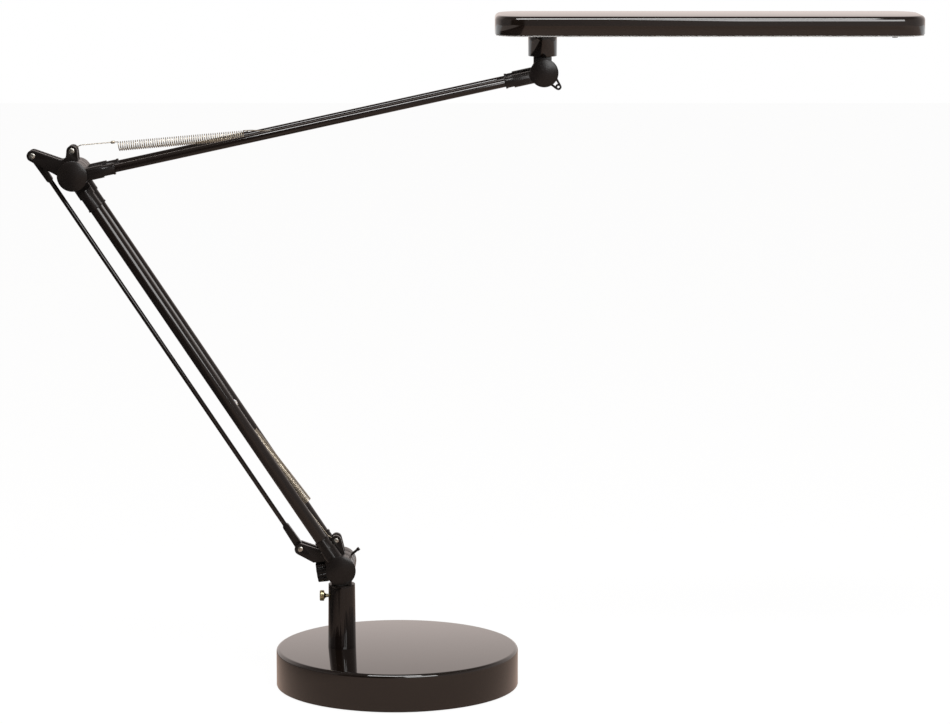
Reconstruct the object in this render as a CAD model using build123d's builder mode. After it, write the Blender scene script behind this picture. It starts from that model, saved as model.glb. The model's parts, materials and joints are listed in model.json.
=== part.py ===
from build123d import *
import os
from math import atan2, cos, degrees, hypot, pi, radians, sin, sqrt

# A spring-balanced desk lamp: a round weighted base, a short post with a turning bracket, two
# arms of paired tubes, a parallel link beside the lower arm and a long flat light head.
# Millimetres and degrees. X runs to the right of the lamp seen from its front, Y to its back
# and Z up. The origin is the centre of the base's underside.

# ---- Clearances ------------------------------------------------------------------------------
PRESS_GAP = 0.02           # between two fixed pieces, radial
RUNNING_GAP = 0.05         # between a shaft and the hole that it turns in, radial
FREE_GAP = 0.3             # between curved faces that pass each other

# ---- Base ------------------------------------------------------------------------------------
BASE_DIAMETER = 206.0
BASE_HEIGHT = 32.6
BASE_EDGE_RADIUS = 3.0
COVER_BOTTOM = 1.0         # the cover's rim stands this far above the table
COVER_WALL = 2.5
COVER_ROOF = 3.0
PAD_DIAMETER = 199.0
PAD_THICKNESS = 2.5
PLATE_DIAMETER = 200.4
PLATE_THICKNESS = 2.0
WEIGHT_DIAMETER = 168.0
WEIGHT_THICKNESS = 18.0
SCREW_CIRCLE = 92.0        # radius of the circle of the bottom screws
SCREW_COUNT = 4
SCREW_BOSS_RADIUS = 4.0
SCREW_SHANK_RADIUS = 1.25
SCREW_SHANK_LENGTH = 10.0
SCREW_HEAD_RADIUS = 3.0
SCREW_HEAD_THICKNESS = 1.1
GLAND_HEIGHT = 15.0
GLAND_BORE_RADIUS = 3.0
GLAND_NECK_RADIUS = 4.0
GLAND_FLANGE_RADIUS = 6.5
GLAND_FLANGE_THICKNESS = 1.8

# ---- Post ------------------------------------------------------------------------------------
POST_X = -47.1
POST_RADIUS = 11.3         # at its top
POST_BASE_RADIUS = 11.9
POST_TOP = 86.4
POST_FOOT_RADIUS = 8.0     # threaded foot that passes through the cover and the weight
POST_FOOT_BOTTOM = 9.0
POST_LEAD_RADIUS = 5.0     # hole for the lead in the foot
BUSH_BOTTOM = 45.0
BUSH_RADIUS = 9.5
BUSH_FLANGE = 1.0
POST_NUT_RADIUS = 13.5     # over the corners
POST_NUT_THICKNESS = 5.4
NUT_POCKET_RADIUS = 16.0
NUT_POCKET_DEPTH = 6.0
SPIGOT_RADIUS = 6.3
SPIGOT_BOTTOM = 47.0
SPIGOT_TOP = 95.0
SPIGOT_LEAD_RADIUS = 2.5
SPIGOT_GROOVE_RADIUS = 5.6
SPIGOT_GROOVE_HEIGHT = 4.0
THUMBSCREW_HEIGHT = 77.0
THUMBSCREW_RADIUS = 1.5
THUMBSCREW_TIP = 6.1       # distances from the post's axis
THUMBSCREW_CONE = 12.6
THUMBSCREW_HEAD = 15.4
THUMBSCREW_END = 18.8
THUMBSCREW_CONE_RADIUS = 3.6
THUMBSCREW_HEAD_RADIUS = 4.7
THUMBSCREW_KNURLS = 20
KNURL_RADIUS = 0.45

# ---- Arms ------------------------------------------------------------------------------------
LOWER_ARM_LENGTH = 401.0   # pivot to pivot
UPPER_ARM_LENGTH = 401.0
LOWER_ANGLE = 123.45       # from +X, turning up
UPPER_ANGLE = 12.36
BASE_PIVOT_HEIGHT = 103.2
JOINT_RADIUS = 11.8        # hubs and rings of the base and elbow joints
HEAD_JOINT_RADIUS = 9.6
RING_CLEARANCE_RADIUS = 13.0
ELBOW_CLEARANCE_RADIUS = 16.5   # lets the upper arm's sleeve swing past the lower arm's
AXLE_RADIUS = 3.0
AXLE_HEAD_RADIUS = 5.0
AXLE_POCKET_RADIUS = 6.0

BRACKET_HALF_WIDTH = 7.5
CHEEK_GAP_HALF = 3.3       # half of the slot between a bracket's two cheeks
WASHER_THICKNESS = 0.4
WASHER_RADIUS = 8.0

LOWER_TUBE_DEPTH = 14.0    # from the lamp's middle plane
LOWER_TUBE_RADIUS = 5.4
LOWER_TUBE_WALL = 1.0
LOWER_SLEEVE_RADIUS = 6.0
LOWER_RING_INNER = 8.0
LOWER_FOOT_RING_OUTER = 22.0
LOWER_ELBOW_RING_OUTER = 14.3
LOWER_FOOT_SLEEVE = 30.0   # sleeve ends, from the pivot
LOWER_ELBOW_SLEEVE = 33.5
LOWER_LUG = 21.0           # end of the moulded step near a sleeve's root, from the pivot
LOWER_TUBE_INSET = 16.0    # a tube's end, from the pivot
LOWER_AXLE_POCKET = 16.0

UPPER_TUBE_DEPTH = 19.2
UPPER_TUBE_RADIUS = 3.3
UPPER_TUBE_DROP = 1.5      # the tubes' line passes this far below the pivots
UPPER_TUBE_WALL = 0.8
UPPER_SLEEVE_RADIUS = 4.5
UPPER_RING_INNER = 14.6
UPPER_RING_OUTER = 23.0
UPPER_ELBOW_SLEEVE = 36.0
UPPER_HEAD_SLEEVE = 33.0
UPPER_LUG = 26.0
UPPER_TUBE_INSET = 16.0
UPPER_AXLE_POCKET = 19.0

LUG_STEP = 0.9
SLEEVE_FLAT = 1.0          # how much narrower than the sleeve its steps are
LIP_LENGTH = 1.6           # raised lip at a sleeve's mouth
LIP_STEP = 0.4

CAP_RADIUS = 12.7          # front caps of the base and elbow joints
HEAD_CAP_RADIUS = 11.8
REAR_CAP_RADIUS = 11.4
REAR_HEAD_CAP_RADIUS = 9.4
CAP_EDGE = 1.2
CAP_DOME = 2.0
CAP_PLUG_DEPTH = 1.2
CAP_PLUG_RADIUS = 5.9
CAP_SEAT = 0.05

# ---- Brackets and link -----------------------------------------------------------------------
WEB_RADIUS = 7.8           # the link ear's web, at the pivot
LINK_EAR = (-34.8, 15.4)   # from the pivot, in the lamp's middle plane
LINK_EAR_RADIUS = 4.8
BASE_SPRING_EAR = (-4.4, 22.7)
ELBOW_SPRING_EAR = (-1.8, 19.6)
SPRING_EAR_RADIUS = 4.5
SPRING_EAR_ROOT = (-1.8, 7.0)
SPRING_EAR_ROOT_RADIUS = 5.8
EAR_VALLEY_RADIUS = 4.0
EAR_PIN_RADIUS = 1.5
EAR_HEAD_RADIUS = 2.4
EAR_HEAD_THICKNESS = 1.1
EAR_HEAD_RECESS = 1.2
BRACKET_NECK_BOTTOM = 87.55
BRACKET_NECK_WIDTH = 17.0
MOULD_DOT = (-27.4, 10.6)
MOULD_DOT_RADIUS = 1.2
MOULD_DOT_HEIGHT = 0.3
LINK_EYE_RADIUS = 3.4
LINK_EYE_HALF_WIDTH = 2.9
LINK_SHANK_RADIUS = 2.7
LINK_FOOT_SHANK = 22.0
LINK_ELBOW_SHANK = 24.0
LINK_ROD_RADIUS = 2.0
LINK_ROD_INSET = 10.0
STOP_PIN_ANGLE = 39.5
STOP_PIN_RADIUS = 1.1
STOP_PIN_DEPTH = 14.0
STOP_PIN_INNER = 9.0
STOP_PIN_OUTER = 18.9
STOP_PIN_TIP = 2.2
STOP_PIN_TIP_RADIUS = 1.5

# ---- Tension knob ----------------------------------------------------------------------------
KNOB_CENTRE = (-16.6, -4.9)   # from the base pivot
KNOB_TILT = 189.0             # its axis points left and a little down
KNOB_RADIUS = 9.4
KNOB_THICKNESS = 8.6
KNOB_FLUTES = 10
KNOB_FLUTE_RADIUS = 1.7
KNOB_FLUTE_OUT = 0.6
KNOB_NOTCH_LENGTH = 16.0
KNOB_STUD_RADIUS = 2.0
KNOB_STUD_LENGTH = 11.0

# ---- Springs ---------------------------------------------------------------------------------
SPRING_TURNS = 48
WIRE_RADIUS = 0.48
COIL_RADIUS = 3.75         # to the middle of the wire
COIL_LEAD = 2.5            # bend from the straight end wire into the first turn
HOOK_GAP = 0.2             # between a hook and its pin
HOOK_TAIL = 3.0
HOOK_RISE = 8.0            # the end wire climbs to the coil's side over this length
SPRING_PIN_DISTANCE = 166.0
LOWER_COIL_START = 62.0    # along the arm
LOWER_COIL_END = 138.0
UPPER_COIL_START = 40.0
UPPER_COIL_END = 145.0
LOWER_PIN_RADIUS = 2.0
UPPER_PIN_RADIUS = 1.7
ROLLER_RADIUS = 3.2
ROLLER_FLANGE_RADIUS = 4.3
ROLLER_HALF_WIDTH = 3.2
ROLLER_FLANGE = 1.6
FERRULE_RADIUS = 1.25
FERRULE_LENGTH = 3.2
TUBE_SLEEVE_START = 103.0
TUBE_SLEEVE_END = 148.0
TUBE_SLEEVE_WALL = 0.7
SPRING_SAMPLES = 6         # points on each arc when the gap is measured

# ---- Head ------------------------------------------------------------------------------------
NECK_SHIFT = -1.0          # the neck stands this far from the head pivot
NECK_WIDTH = 15.0
NECK_SPIGOT_RADIUS = 5.0
NECK_SPIGOT_TOP = 39.0     # heights above the head pivot
HEAD_HUB_HALF_WIDTH = 14.2
COLLAR_BOTTOM = 12.5
COLLAR_RADIUS = 12.0
COLLAR_FLANGE_RADIUS = 19.0
COLLAR_FLANGE_BOTTOM = 34.6
COLLAR_FLANGE_TOP = 36.6
CLIP_RADIUS = 8.0
CLIP_THICKNESS = 1.6
HEAD_LENGTH = 355.3
HEAD_DEPTH = 86.0
HEAD_LEFT = 40.7           # from the head pivot to the head's left end
HEAD_BOTTOM = 32.0
HEAD_TOP = 47.6
HEAD_CORNER_RADIUS = 25.0
HEAD_EDGE_RADIUS = 4.0
HEAD_WALL = 2.0
HEAD_BOSS_RADIUS = 3.0
HEAD_BOSS_CIRCLE = 15.4
HEAD_BOSS_COUNT = 4
HEAD_SCREW_RADIUS = 2.2
HEAD_SCREW_THICKNESS = 0.9
HEAD_SCREW_LENGTH = 8.0
DIFFUSER_LIP = 1.0
DIFFUSER_MARGIN = 0.6
DIFFUSER_PLUG = 1.8
LED_BOARD_LENGTH = 215.0
LED_BOARD_DEPTH = 62.0
LED_BOARD_LEFT = 80.0      # from the head's left end
LED_BOARD_HEIGHT = 40.5
LED_ROWS = 2
LED_COLUMNS = 16
LED_SIZE = 3.5
LED_THICKNESS = 0.8
BOARD_THICKNESS = 1.6
DRIVER_LENGTH = 40.0
DRIVER_DEPTH = 56.0
DRIVER_SHIFT = -4.0        # from the button
CHIP_SIZE = 8.0
CHIP_THICKNESS = 2.5
CHIP_SPACING = 14.0
CHIP_SHIFT = (-6.0, 8.0)
BUTTON_INSET = 26.0        # from the head's right end
BUTTON_DEPTH = -30.0
BUTTON_RADIUS = 2.5
BUTTON_PROUD = 1.3         # below the diffuser
BUTTON_FLANGE_RADIUS = 4.0
BUTTON_FLANGE_THICKNESS = 0.8
BUTTON_TRAVEL = 0.8
BUTTON_ROUNDING = 0.5
SWITCH_SIZE = 6.0
SWITCH_GAP = 0.2
HEAD_LUG = (12.3, -13.3)   # small lug with a hole, from the head pivot
HEAD_LUG_RADIUS = 2.6
HEAD_LUG_HOLE = 1.0
HEAD_LUG_HALF_WIDTH = 1.6
HEAD_LEG_RADIUS = 0.9      # the lug's two thin legs, each from the hub to the lug's rim
HEAD_LEGS = (((8.4, -2.6), (13.6, -12.0)), ((2.4, -8.2), (11.0, -14.6)))

FRONT = -1
REAR = 1
SIDES = (("front", FRONT), ("rear", REAR))


# ---- Places ----------------------------------------------------------------------------------
def out_along(pivot, angle, distance, left=0.0):
    """The (x, z) point that lies out along an angle, and to the left of that line."""
    turn = radians(angle)
    return (
        pivot[0] + distance * cos(turn) - left * sin(turn),
        pivot[1] + distance * sin(turn) + left * cos(turn),
    )


BASE_PIVOT = (POST_X, BASE_PIVOT_HEIGHT)
ELBOW_PIVOT = out_along(BASE_PIVOT, LOWER_ANGLE, LOWER_ARM_LENGTH)
HEAD_PIVOT = out_along(ELBOW_PIVOT, UPPER_ANGLE, UPPER_ARM_LENGTH)
NECK_X = HEAD_PIVOT[0] + NECK_SHIFT
COVER_TOP_INSIDE = BASE_HEIGHT - COVER_ROOF
PLATE_TOP = PAD_THICKNESS + PLATE_THICKNESS


def side_plane(pivot, angle=0.0):
    """The lamp's middle plane: x out along an angle, y to its left, z to the front."""
    turn = radians(angle)
    return Plane(origin=(pivot[0], 0, pivot[1]), x_dir=(cos(turn), 0, sin(turn)), z_dir=(0, -1, 0))


def outward(pivot, side, depth):
    """A plane across a pivot's axis, at a depth, that faces the front or the rear."""
    return Plane(origin=(pivot[0], side * depth, pivot[1]), x_dir=(1, 0, 0), z_dir=(0, side, 0))


def square_to(pivot, angle, distance, depth):
    """A plane square to an arm, a distance out along it, whose x runs to the rear."""
    x, z = out_along(pivot, angle, distance)
    turn = radians(angle)
    return Plane(origin=(x, depth, z), x_dir=(0, 1, 0), z_dir=(cos(turn), 0, sin(turn)))


def level(height, x=0.0, y=0.0):
    """A level plane at a height."""
    return Plane(origin=(x, y, height), z_dir=(0, 0, 1))


def sunk(pivot, drop):
    """The (x, z) point straight below a pivot."""
    return (pivot[0], pivot[1] - drop)


def ear_place(pivot, ear):
    """The (x, z) place of a bracket's ear."""
    return (pivot[0] + ear[0], pivot[1] + ear[1])


# ---- Base ------------------------------------------------------------------------------------
def make_base_cover():
    """Round moulded cover, open below, with a boss for each bottom screw."""
    with BuildPart() as cover:
        with BuildSketch(level(COVER_BOTTOM)):
            Circle(BASE_DIAMETER / 2)
        extrude(amount=BASE_HEIGHT - COVER_BOTTOM)
        fillet(cover.faces().sort_by(Axis.Z)[-1].edges(), BASE_EDGE_RADIUS)
        with BuildSketch(level(COVER_BOTTOM)):
            Circle(BASE_DIAMETER / 2 - COVER_WALL)
        extrude(amount=PLATE_TOP - COVER_BOTTOM, mode=Mode.SUBTRACT)
        with BuildSketch(level(PLATE_TOP)):
            Circle(BASE_DIAMETER / 2 - COVER_WALL)
            with PolarLocations(SCREW_CIRCLE, SCREW_COUNT, start_angle=45):
                Circle(SCREW_BOSS_RADIUS, mode=Mode.SUBTRACT)
        extrude(amount=COVER_TOP_INSIDE - PLATE_TOP, mode=Mode.SUBTRACT)
        with BuildSketch(level(PLATE_TOP)):
            with PolarLocations(SCREW_CIRCLE, SCREW_COUNT, start_angle=45):
                Circle(SCREW_SHANK_RADIUS + PRESS_GAP)
        extrude(amount=SCREW_SHANK_LENGTH, mode=Mode.SUBTRACT)
        with BuildSketch(level(COVER_TOP_INSIDE, POST_X)):
            Circle(POST_FOOT_RADIUS + PRESS_GAP)
        extrude(amount=COVER_ROOF, mode=Mode.SUBTRACT)
        with BuildSketch(outward((0, GLAND_HEIGHT), REAR, BASE_DIAMETER / 2 - 2 * COVER_WALL)):
            Circle(GLAND_NECK_RADIUS + PRESS_GAP)
        extrude(amount=3 * COVER_WALL, mode=Mode.SUBTRACT)
    return cover.part


def make_base_weight():
    """Cast iron disc that hangs from the post's nut under the cover's roof."""
    bottom = COVER_TOP_INSIDE - WEIGHT_THICKNESS
    with BuildPart() as weight:
        with BuildSketch(level(bottom)):
            Circle(WEIGHT_DIAMETER / 2)
            with Locations((POST_X, 0)):
                Circle(POST_FOOT_RADIUS + PRESS_GAP, mode=Mode.SUBTRACT)
        extrude(amount=WEIGHT_THICKNESS)
        with BuildSketch(level(bottom, POST_X)):
            Circle(NUT_POCKET_RADIUS)
        extrude(amount=NUT_POCKET_DEPTH, mode=Mode.SUBTRACT)
    return weight.part


def make_bottom_plate():
    """Steel plate that closes the cover, with pockets for the screw heads."""
    with BuildPart() as plate:
        with BuildSketch(level(PAD_THICKNESS)):
            Circle(PLATE_DIAMETER / 2)
            with PolarLocations(SCREW_CIRCLE, SCREW_COUNT, start_angle=45):
                Circle(SCREW_SHANK_RADIUS + FREE_GAP, mode=Mode.SUBTRACT)
        extrude(amount=PLATE_THICKNESS)
        with BuildSketch(level(PAD_THICKNESS)):
            with PolarLocations(SCREW_CIRCLE, SCREW_COUNT, start_angle=45):
                Circle(SCREW_HEAD_RADIUS + PRESS_GAP)
        extrude(amount=SCREW_HEAD_THICKNESS, mode=Mode.SUBTRACT)
    return plate.part


def make_bottom_screws():
    """Four screws through the bottom plate into the cover's bosses."""
    with BuildPart() as screws:
        with BuildSketch(level(PAD_THICKNESS)):
            with PolarLocations(SCREW_CIRCLE, SCREW_COUNT, start_angle=45):
                Circle(SCREW_HEAD_RADIUS)
        extrude(amount=SCREW_HEAD_THICKNESS)
        with BuildSketch(level(PAD_THICKNESS)):
            with PolarLocations(SCREW_CIRCLE, SCREW_COUNT, start_angle=45):
                Circle(SCREW_SHANK_RADIUS)
        extrude(amount=PLATE_THICKNESS + SCREW_SHANK_LENGTH - 1.0)
    return screws.part


def make_foot_pad():
    """Rubber pad that covers the plate and stands on the table."""
    with BuildPart() as pad:
        with BuildSketch():
            Circle(PAD_DIAMETER / 2)
        extrude(amount=PAD_THICKNESS)
    return pad.part


def make_cable_gland():
    """Rubber bushing in the back of the cover, with a hole for the lead."""
    rear = BASE_DIAMETER / 2
    neck_start = rear - COVER_WALL - GLAND_FLANGE_THICKNESS - 0.2
    with BuildPart() as gland:
        with BuildSketch(outward((0, GLAND_HEIGHT), REAR, neck_start)):
            Circle(GLAND_NECK_RADIUS)
        extrude(amount=rear + GLAND_FLANGE_THICKNESS - neck_start)
        with BuildSketch(outward((0, GLAND_HEIGHT), REAR, neck_start)):
            Circle(GLAND_FLANGE_RADIUS)
        extrude(amount=GLAND_FLANGE_THICKNESS - 0.1)
        with BuildSketch(outward((0, GLAND_HEIGHT), REAR, rear + PRESS_GAP)):
            Circle(GLAND_FLANGE_RADIUS)
        extrude(amount=GLAND_FLANGE_THICKNESS)
        fillet(gland.faces().sort_by(Axis.Y)[-1].edges(), 0.8)
        with BuildSketch(outward((0, GLAND_HEIGHT), REAR, neck_start)):
            Circle(GLAND_BORE_RADIUS)
        extrude(amount=3 * COVER_WALL + GLAND_FLANGE_THICKNESS, mode=Mode.SUBTRACT)
    return gland.part


# ---- Post ------------------------------------------------------------------------------------
def thumbscrew_plane(distance):
    """A plane across the thumbscrew, a distance to the left of the post's axis."""
    return Plane(origin=(POST_X - distance, 0, THUMBSCREW_HEIGHT), x_dir=(0, 1, 0), z_dir=(-1, 0, 0))


def make_post_tube():
    """Steel post whose threaded foot passes through the cover and the weight."""
    with BuildPart() as post:
        with BuildSketch(level(BASE_HEIGHT, POST_X)):
            Circle(POST_BASE_RADIUS)
        with BuildSketch(level(POST_TOP, POST_X)):
            Circle(POST_RADIUS)
        loft()
        with BuildSketch(level(POST_FOOT_BOTTOM, POST_X)):
            Circle(POST_FOOT_RADIUS)
        extrude(amount=BASE_HEIGHT - POST_FOOT_BOTTOM)
        with BuildSketch(level(BUSH_BOTTOM, POST_X)):
            Circle(BUSH_RADIUS)
        extrude(amount=POST_TOP - BUSH_BOTTOM, mode=Mode.SUBTRACT)
        with BuildSketch(level(POST_FOOT_BOTTOM, POST_X)):
            Circle(POST_LEAD_RADIUS)
        extrude(amount=BUSH_BOTTOM - POST_FOOT_BOTTOM, mode=Mode.SUBTRACT)
        with BuildSketch(thumbscrew_plane(SPIGOT_RADIUS)):
            Circle(THUMBSCREW_RADIUS + RUNNING_GAP)
        extrude(amount=POST_RADIUS, mode=Mode.SUBTRACT)
    return post.part


def make_post_nut():
    """Nut that clamps the post, the cover and the weight together."""
    top = COVER_TOP_INSIDE - WEIGHT_THICKNESS + NUT_POCKET_DEPTH
    with BuildPart() as nut:
        with BuildSketch(level(top - POST_NUT_THICKNESS, POST_X)):
            RegularPolygon(radius=POST_NUT_RADIUS, side_count=6)
            Circle(POST_FOOT_RADIUS + PRESS_GAP, mode=Mode.SUBTRACT)
        extrude(amount=POST_NUT_THICKNESS)
    return nut.part


def make_post_bush():
    """Plastic bush in the post, in which the turning bracket's spigot runs."""
    with BuildPart() as bush:
        with BuildSketch(level(BUSH_BOTTOM, POST_X)):
            Circle(BUSH_RADIUS - PRESS_GAP)
        extrude(amount=POST_TOP - BUSH_BOTTOM)
        with BuildSketch(level(POST_TOP, POST_X)):
            Circle(POST_RADIUS)
        extrude(amount=BUSH_FLANGE)
        with BuildSketch(level(BUSH_BOTTOM, POST_X)):
            Circle(SPIGOT_RADIUS + RUNNING_GAP)
        extrude(amount=POST_TOP + BUSH_FLANGE - BUSH_BOTTOM, mode=Mode.SUBTRACT)
        with BuildSketch(thumbscrew_plane(0)):
            Circle(THUMBSCREW_RADIUS + RUNNING_GAP)
        extrude(amount=POST_RADIUS, mode=Mode.SUBTRACT)
    return bush.part


def make_thumbscrew():
    """Brass screw with a knurled head that locks the turning bracket."""
    with BuildPart() as screw:
        with BuildSketch(thumbscrew_plane(THUMBSCREW_TIP)):
            Circle(THUMBSCREW_RADIUS)
        extrude(amount=THUMBSCREW_HEAD - THUMBSCREW_TIP)
        with BuildSketch(thumbscrew_plane(THUMBSCREW_CONE)):
            Circle(THUMBSCREW_RADIUS)
        with BuildSketch(thumbscrew_plane(THUMBSCREW_HEAD)):
            Circle(THUMBSCREW_CONE_RADIUS)
        loft()
        with BuildSketch(thumbscrew_plane(THUMBSCREW_HEAD)):
            Circle(THUMBSCREW_HEAD_RADIUS)
            with PolarLocations(THUMBSCREW_HEAD_RADIUS, THUMBSCREW_KNURLS):
                Circle(KNURL_RADIUS, mode=Mode.SUBTRACT)
        extrude(amount=THUMBSCREW_END - THUMBSCREW_HEAD)
    return screw.part


# ---- Brackets --------------------------------------------------------------------------------
def joined_discs(first, first_radius, second, second_radius):
    """A plate around two discs and the straight edges that touch both."""
    with Locations(first):
        Circle(first_radius)
    with Locations(second):
        Circle(second_radius)
    make_hull()


def valley_edge(body, pivot):
    """The inner corner between a bracket's two ears."""
    valley = (pivot[0] - WEB_RADIUS, 0, pivot[1] + JOINT_RADIUS)
    return body.edges().filter_by(Axis.Y).sort_by_distance(valley)[0]


def bracket_cheeks(pivot, spring_ear):
    """Hub and two cheeks with an ear for the link and an ear for the spring, all drilled."""
    pocket_floor = BRACKET_HALF_WIDTH - EAR_HEAD_RECESS
    with BuildPart() as cheeks:
        with BuildSketch(side_plane(pivot)):
            joined_discs((0, 0), WEB_RADIUS, LINK_EAR, LINK_EAR_RADIUS)
        extrude(amount=BRACKET_HALF_WIDTH, both=True)
        with BuildSketch(side_plane(pivot)):
            joined_discs(spring_ear, SPRING_EAR_RADIUS, SPRING_EAR_ROOT, SPRING_EAR_ROOT_RADIUS)
        extrude(amount=BRACKET_HALF_WIDTH, both=True)
        fillet(valley_edge(cheeks, pivot), EAR_VALLEY_RADIUS)
        with BuildSketch(side_plane(pivot)):
            Circle(JOINT_RADIUS)
        extrude(amount=BRACKET_HALF_WIDTH, both=True)
        with BuildSketch(side_plane(pivot)):
            Rectangle(8 * JOINT_RADIUS, 8 * JOINT_RADIUS)
            Circle(JOINT_RADIUS + FREE_GAP, mode=Mode.SUBTRACT)
        extrude(amount=CHEEK_GAP_HALF, both=True, mode=Mode.SUBTRACT)
        with BuildSketch(side_plane(pivot)):
            with Locations(LINK_EAR, spring_ear):
                Circle(EAR_PIN_RADIUS + PRESS_GAP)
            Circle(AXLE_RADIUS + PRESS_GAP)
        extrude(amount=BRACKET_HALF_WIDTH, both=True, mode=Mode.SUBTRACT)
        for _, side in SIDES:
            for ear in (LINK_EAR, spring_ear):
                with BuildSketch(outward(ear_place(pivot, ear), side, pocket_floor)):
                    Circle(EAR_HEAD_RADIUS + PRESS_GAP)
                extrude(amount=EAR_HEAD_RECESS, mode=Mode.SUBTRACT)
    return cheeks.part


def knob_plane(distance):
    """A plane across the tension knob, a distance out from the knob's middle."""
    centre = ear_place(BASE_PIVOT, KNOB_CENTRE)
    x, z = out_along(centre, KNOB_TILT, distance)
    turn = radians(KNOB_TILT)
    return Plane(origin=(x, 0, z), x_dir=(0, 1, 0), z_dir=(cos(turn), 0, sin(turn)))


def make_base_bracket():
    """Turning bracket: neck on the post, hub for the lower arm, ears and the knob's boss."""
    with BuildPart() as bracket:
        add(bracket_cheeks(BASE_PIVOT, BASE_SPRING_EAR))
        with BuildSketch(outward(ear_place(BASE_PIVOT, MOULD_DOT), FRONT, BRACKET_HALF_WIDTH)):
            Circle(MOULD_DOT_RADIUS)
        extrude(amount=MOULD_DOT_HEIGHT)
        with BuildSketch(level(BRACKET_NECK_BOTTOM, POST_X)):
            Rectangle(BRACKET_NECK_WIDTH, 2 * BRACKET_HALF_WIDTH)
        extrude(amount=BASE_PIVOT_HEIGHT - BRACKET_NECK_BOTTOM)
        with BuildSketch(knob_plane(-KNOB_THICKNESS / 2 - FREE_GAP)):
            Rectangle(4 * BRACKET_HALF_WIDTH, 2 * (KNOB_RADIUS + FREE_GAP))
        extrude(amount=KNOB_NOTCH_LENGTH, mode=Mode.SUBTRACT)
        with BuildSketch(side_plane(BASE_PIVOT)):
            Circle(AXLE_RADIUS + PRESS_GAP)
        extrude(amount=BRACKET_HALF_WIDTH, both=True, mode=Mode.SUBTRACT)
        with BuildSketch(knob_plane(-KNOB_THICKNESS / 2)):
            Circle(KNOB_STUD_RADIUS + RUNNING_GAP)
        extrude(amount=-KNOB_STUD_LENGTH, mode=Mode.SUBTRACT)
        with BuildSketch(level(BRACKET_NECK_BOTTOM, POST_X)):
            Circle(SPIGOT_RADIUS + PRESS_GAP)
        extrude(amount=SPIGOT_TOP - BRACKET_NECK_BOTTOM, mode=Mode.SUBTRACT)
    return bracket.part


def make_elbow_bracket():
    """Floating bracket at the elbow, held level by the link."""
    return bracket_cheeks(ELBOW_PIVOT, ELBOW_SPRING_EAR)


def make_turret_spigot():
    """Hollow steel spigot under the bracket, grooved for the thumbscrew's tip."""
    with BuildPart() as spigot:
        with BuildSketch(level(SPIGOT_BOTTOM, POST_X)):
            Circle(SPIGOT_RADIUS)
            Circle(SPIGOT_LEAD_RADIUS, mode=Mode.SUBTRACT)
        extrude(amount=SPIGOT_TOP - SPIGOT_BOTTOM)
        chamfer(spigot.faces().sort_by(Axis.Z)[0].outer_wire().edges(), 0.8)
        with BuildSketch(level(THUMBSCREW_HEIGHT - SPIGOT_GROOVE_HEIGHT / 2, POST_X)):
            Circle(SPIGOT_RADIUS + 1.0)
            Circle(SPIGOT_GROOVE_RADIUS, mode=Mode.SUBTRACT)
        extrude(amount=SPIGOT_GROOVE_HEIGHT, mode=Mode.SUBTRACT)
    return spigot.part


def make_bracket_screws(pivot, spring_ear):
    """The pin of the link ear and the pin of the spring ear, each with two flat heads."""
    inner = BRACKET_HALF_WIDTH - EAR_HEAD_RECESS
    with BuildPart() as screws:
        with BuildSketch(side_plane(pivot)):
            with Locations(LINK_EAR, spring_ear):
                Circle(EAR_PIN_RADIUS)
        extrude(amount=inner, both=True)
        for _, side in SIDES:
            for ear in (LINK_EAR, spring_ear):
                with BuildSketch(outward(ear_place(pivot, ear), side, inner)):
                    Circle(EAR_HEAD_RADIUS)
                extrude(amount=EAR_HEAD_THICKNESS)
    return screws.part


def make_axle(pivot, pocket, head_thickness):
    """Pivot bolt with a flat head at the front and a hexagon nut at the rear."""
    seat = pocket + 0.15
    with BuildPart() as axle:
        with BuildSketch(outward(pivot, REAR, -seat)):
            Circle(AXLE_RADIUS)
        extrude(amount=2 * seat + head_thickness)
        with BuildSketch(outward(pivot, FRONT, seat)):
            Circle(AXLE_HEAD_RADIUS)
        extrude(amount=head_thickness)
        with BuildSketch(outward(pivot, REAR, seat)):
            RegularPolygon(radius=AXLE_HEAD_RADIUS, side_count=6)
            Circle(AXLE_RADIUS + PRESS_GAP, mode=Mode.SUBTRACT)
        extrude(amount=head_thickness)
    return axle.part


def make_washers(pivot, inner_face):
    """A pair of friction washers, one on each side of a hub."""
    with BuildPart() as washers:
        for _, side in SIDES:
            with BuildSketch(outward(pivot, side, inner_face + RUNNING_GAP)):
                Circle(WASHER_RADIUS)
                Circle(AXLE_RADIUS + RUNNING_GAP, mode=Mode.SUBTRACT)
            extrude(amount=WASHER_THICKNESS)
    return washers.part


# ---- Tension knob ----------------------------------------------------------------------------
def make_tension_knob():
    """Fluted plastic knob beside the base joint."""
    with BuildPart() as knob:
        with BuildSketch(knob_plane(-KNOB_THICKNESS / 2)):
            Circle(KNOB_RADIUS)
            with PolarLocations(KNOB_RADIUS + KNOB_FLUTE_OUT, KNOB_FLUTES):
                Circle(KNOB_FLUTE_RADIUS, mode=Mode.SUBTRACT)
        extrude(amount=KNOB_THICKNESS, taper=3)
        with BuildSketch(knob_plane(-KNOB_THICKNESS / 2)):
            Circle(KNOB_STUD_RADIUS + PRESS_GAP)
        extrude(amount=KNOB_THICKNESS / 2, mode=Mode.SUBTRACT)
    return knob.part


def make_knob_stud():
    """Threaded stud of the knob, screwed into the bracket's boss."""
    with BuildPart() as stud:
        with BuildSketch(knob_plane(0)):
            Circle(KNOB_STUD_RADIUS)
        extrude(amount=-KNOB_STUD_LENGTH)
    return stud.part


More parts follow.
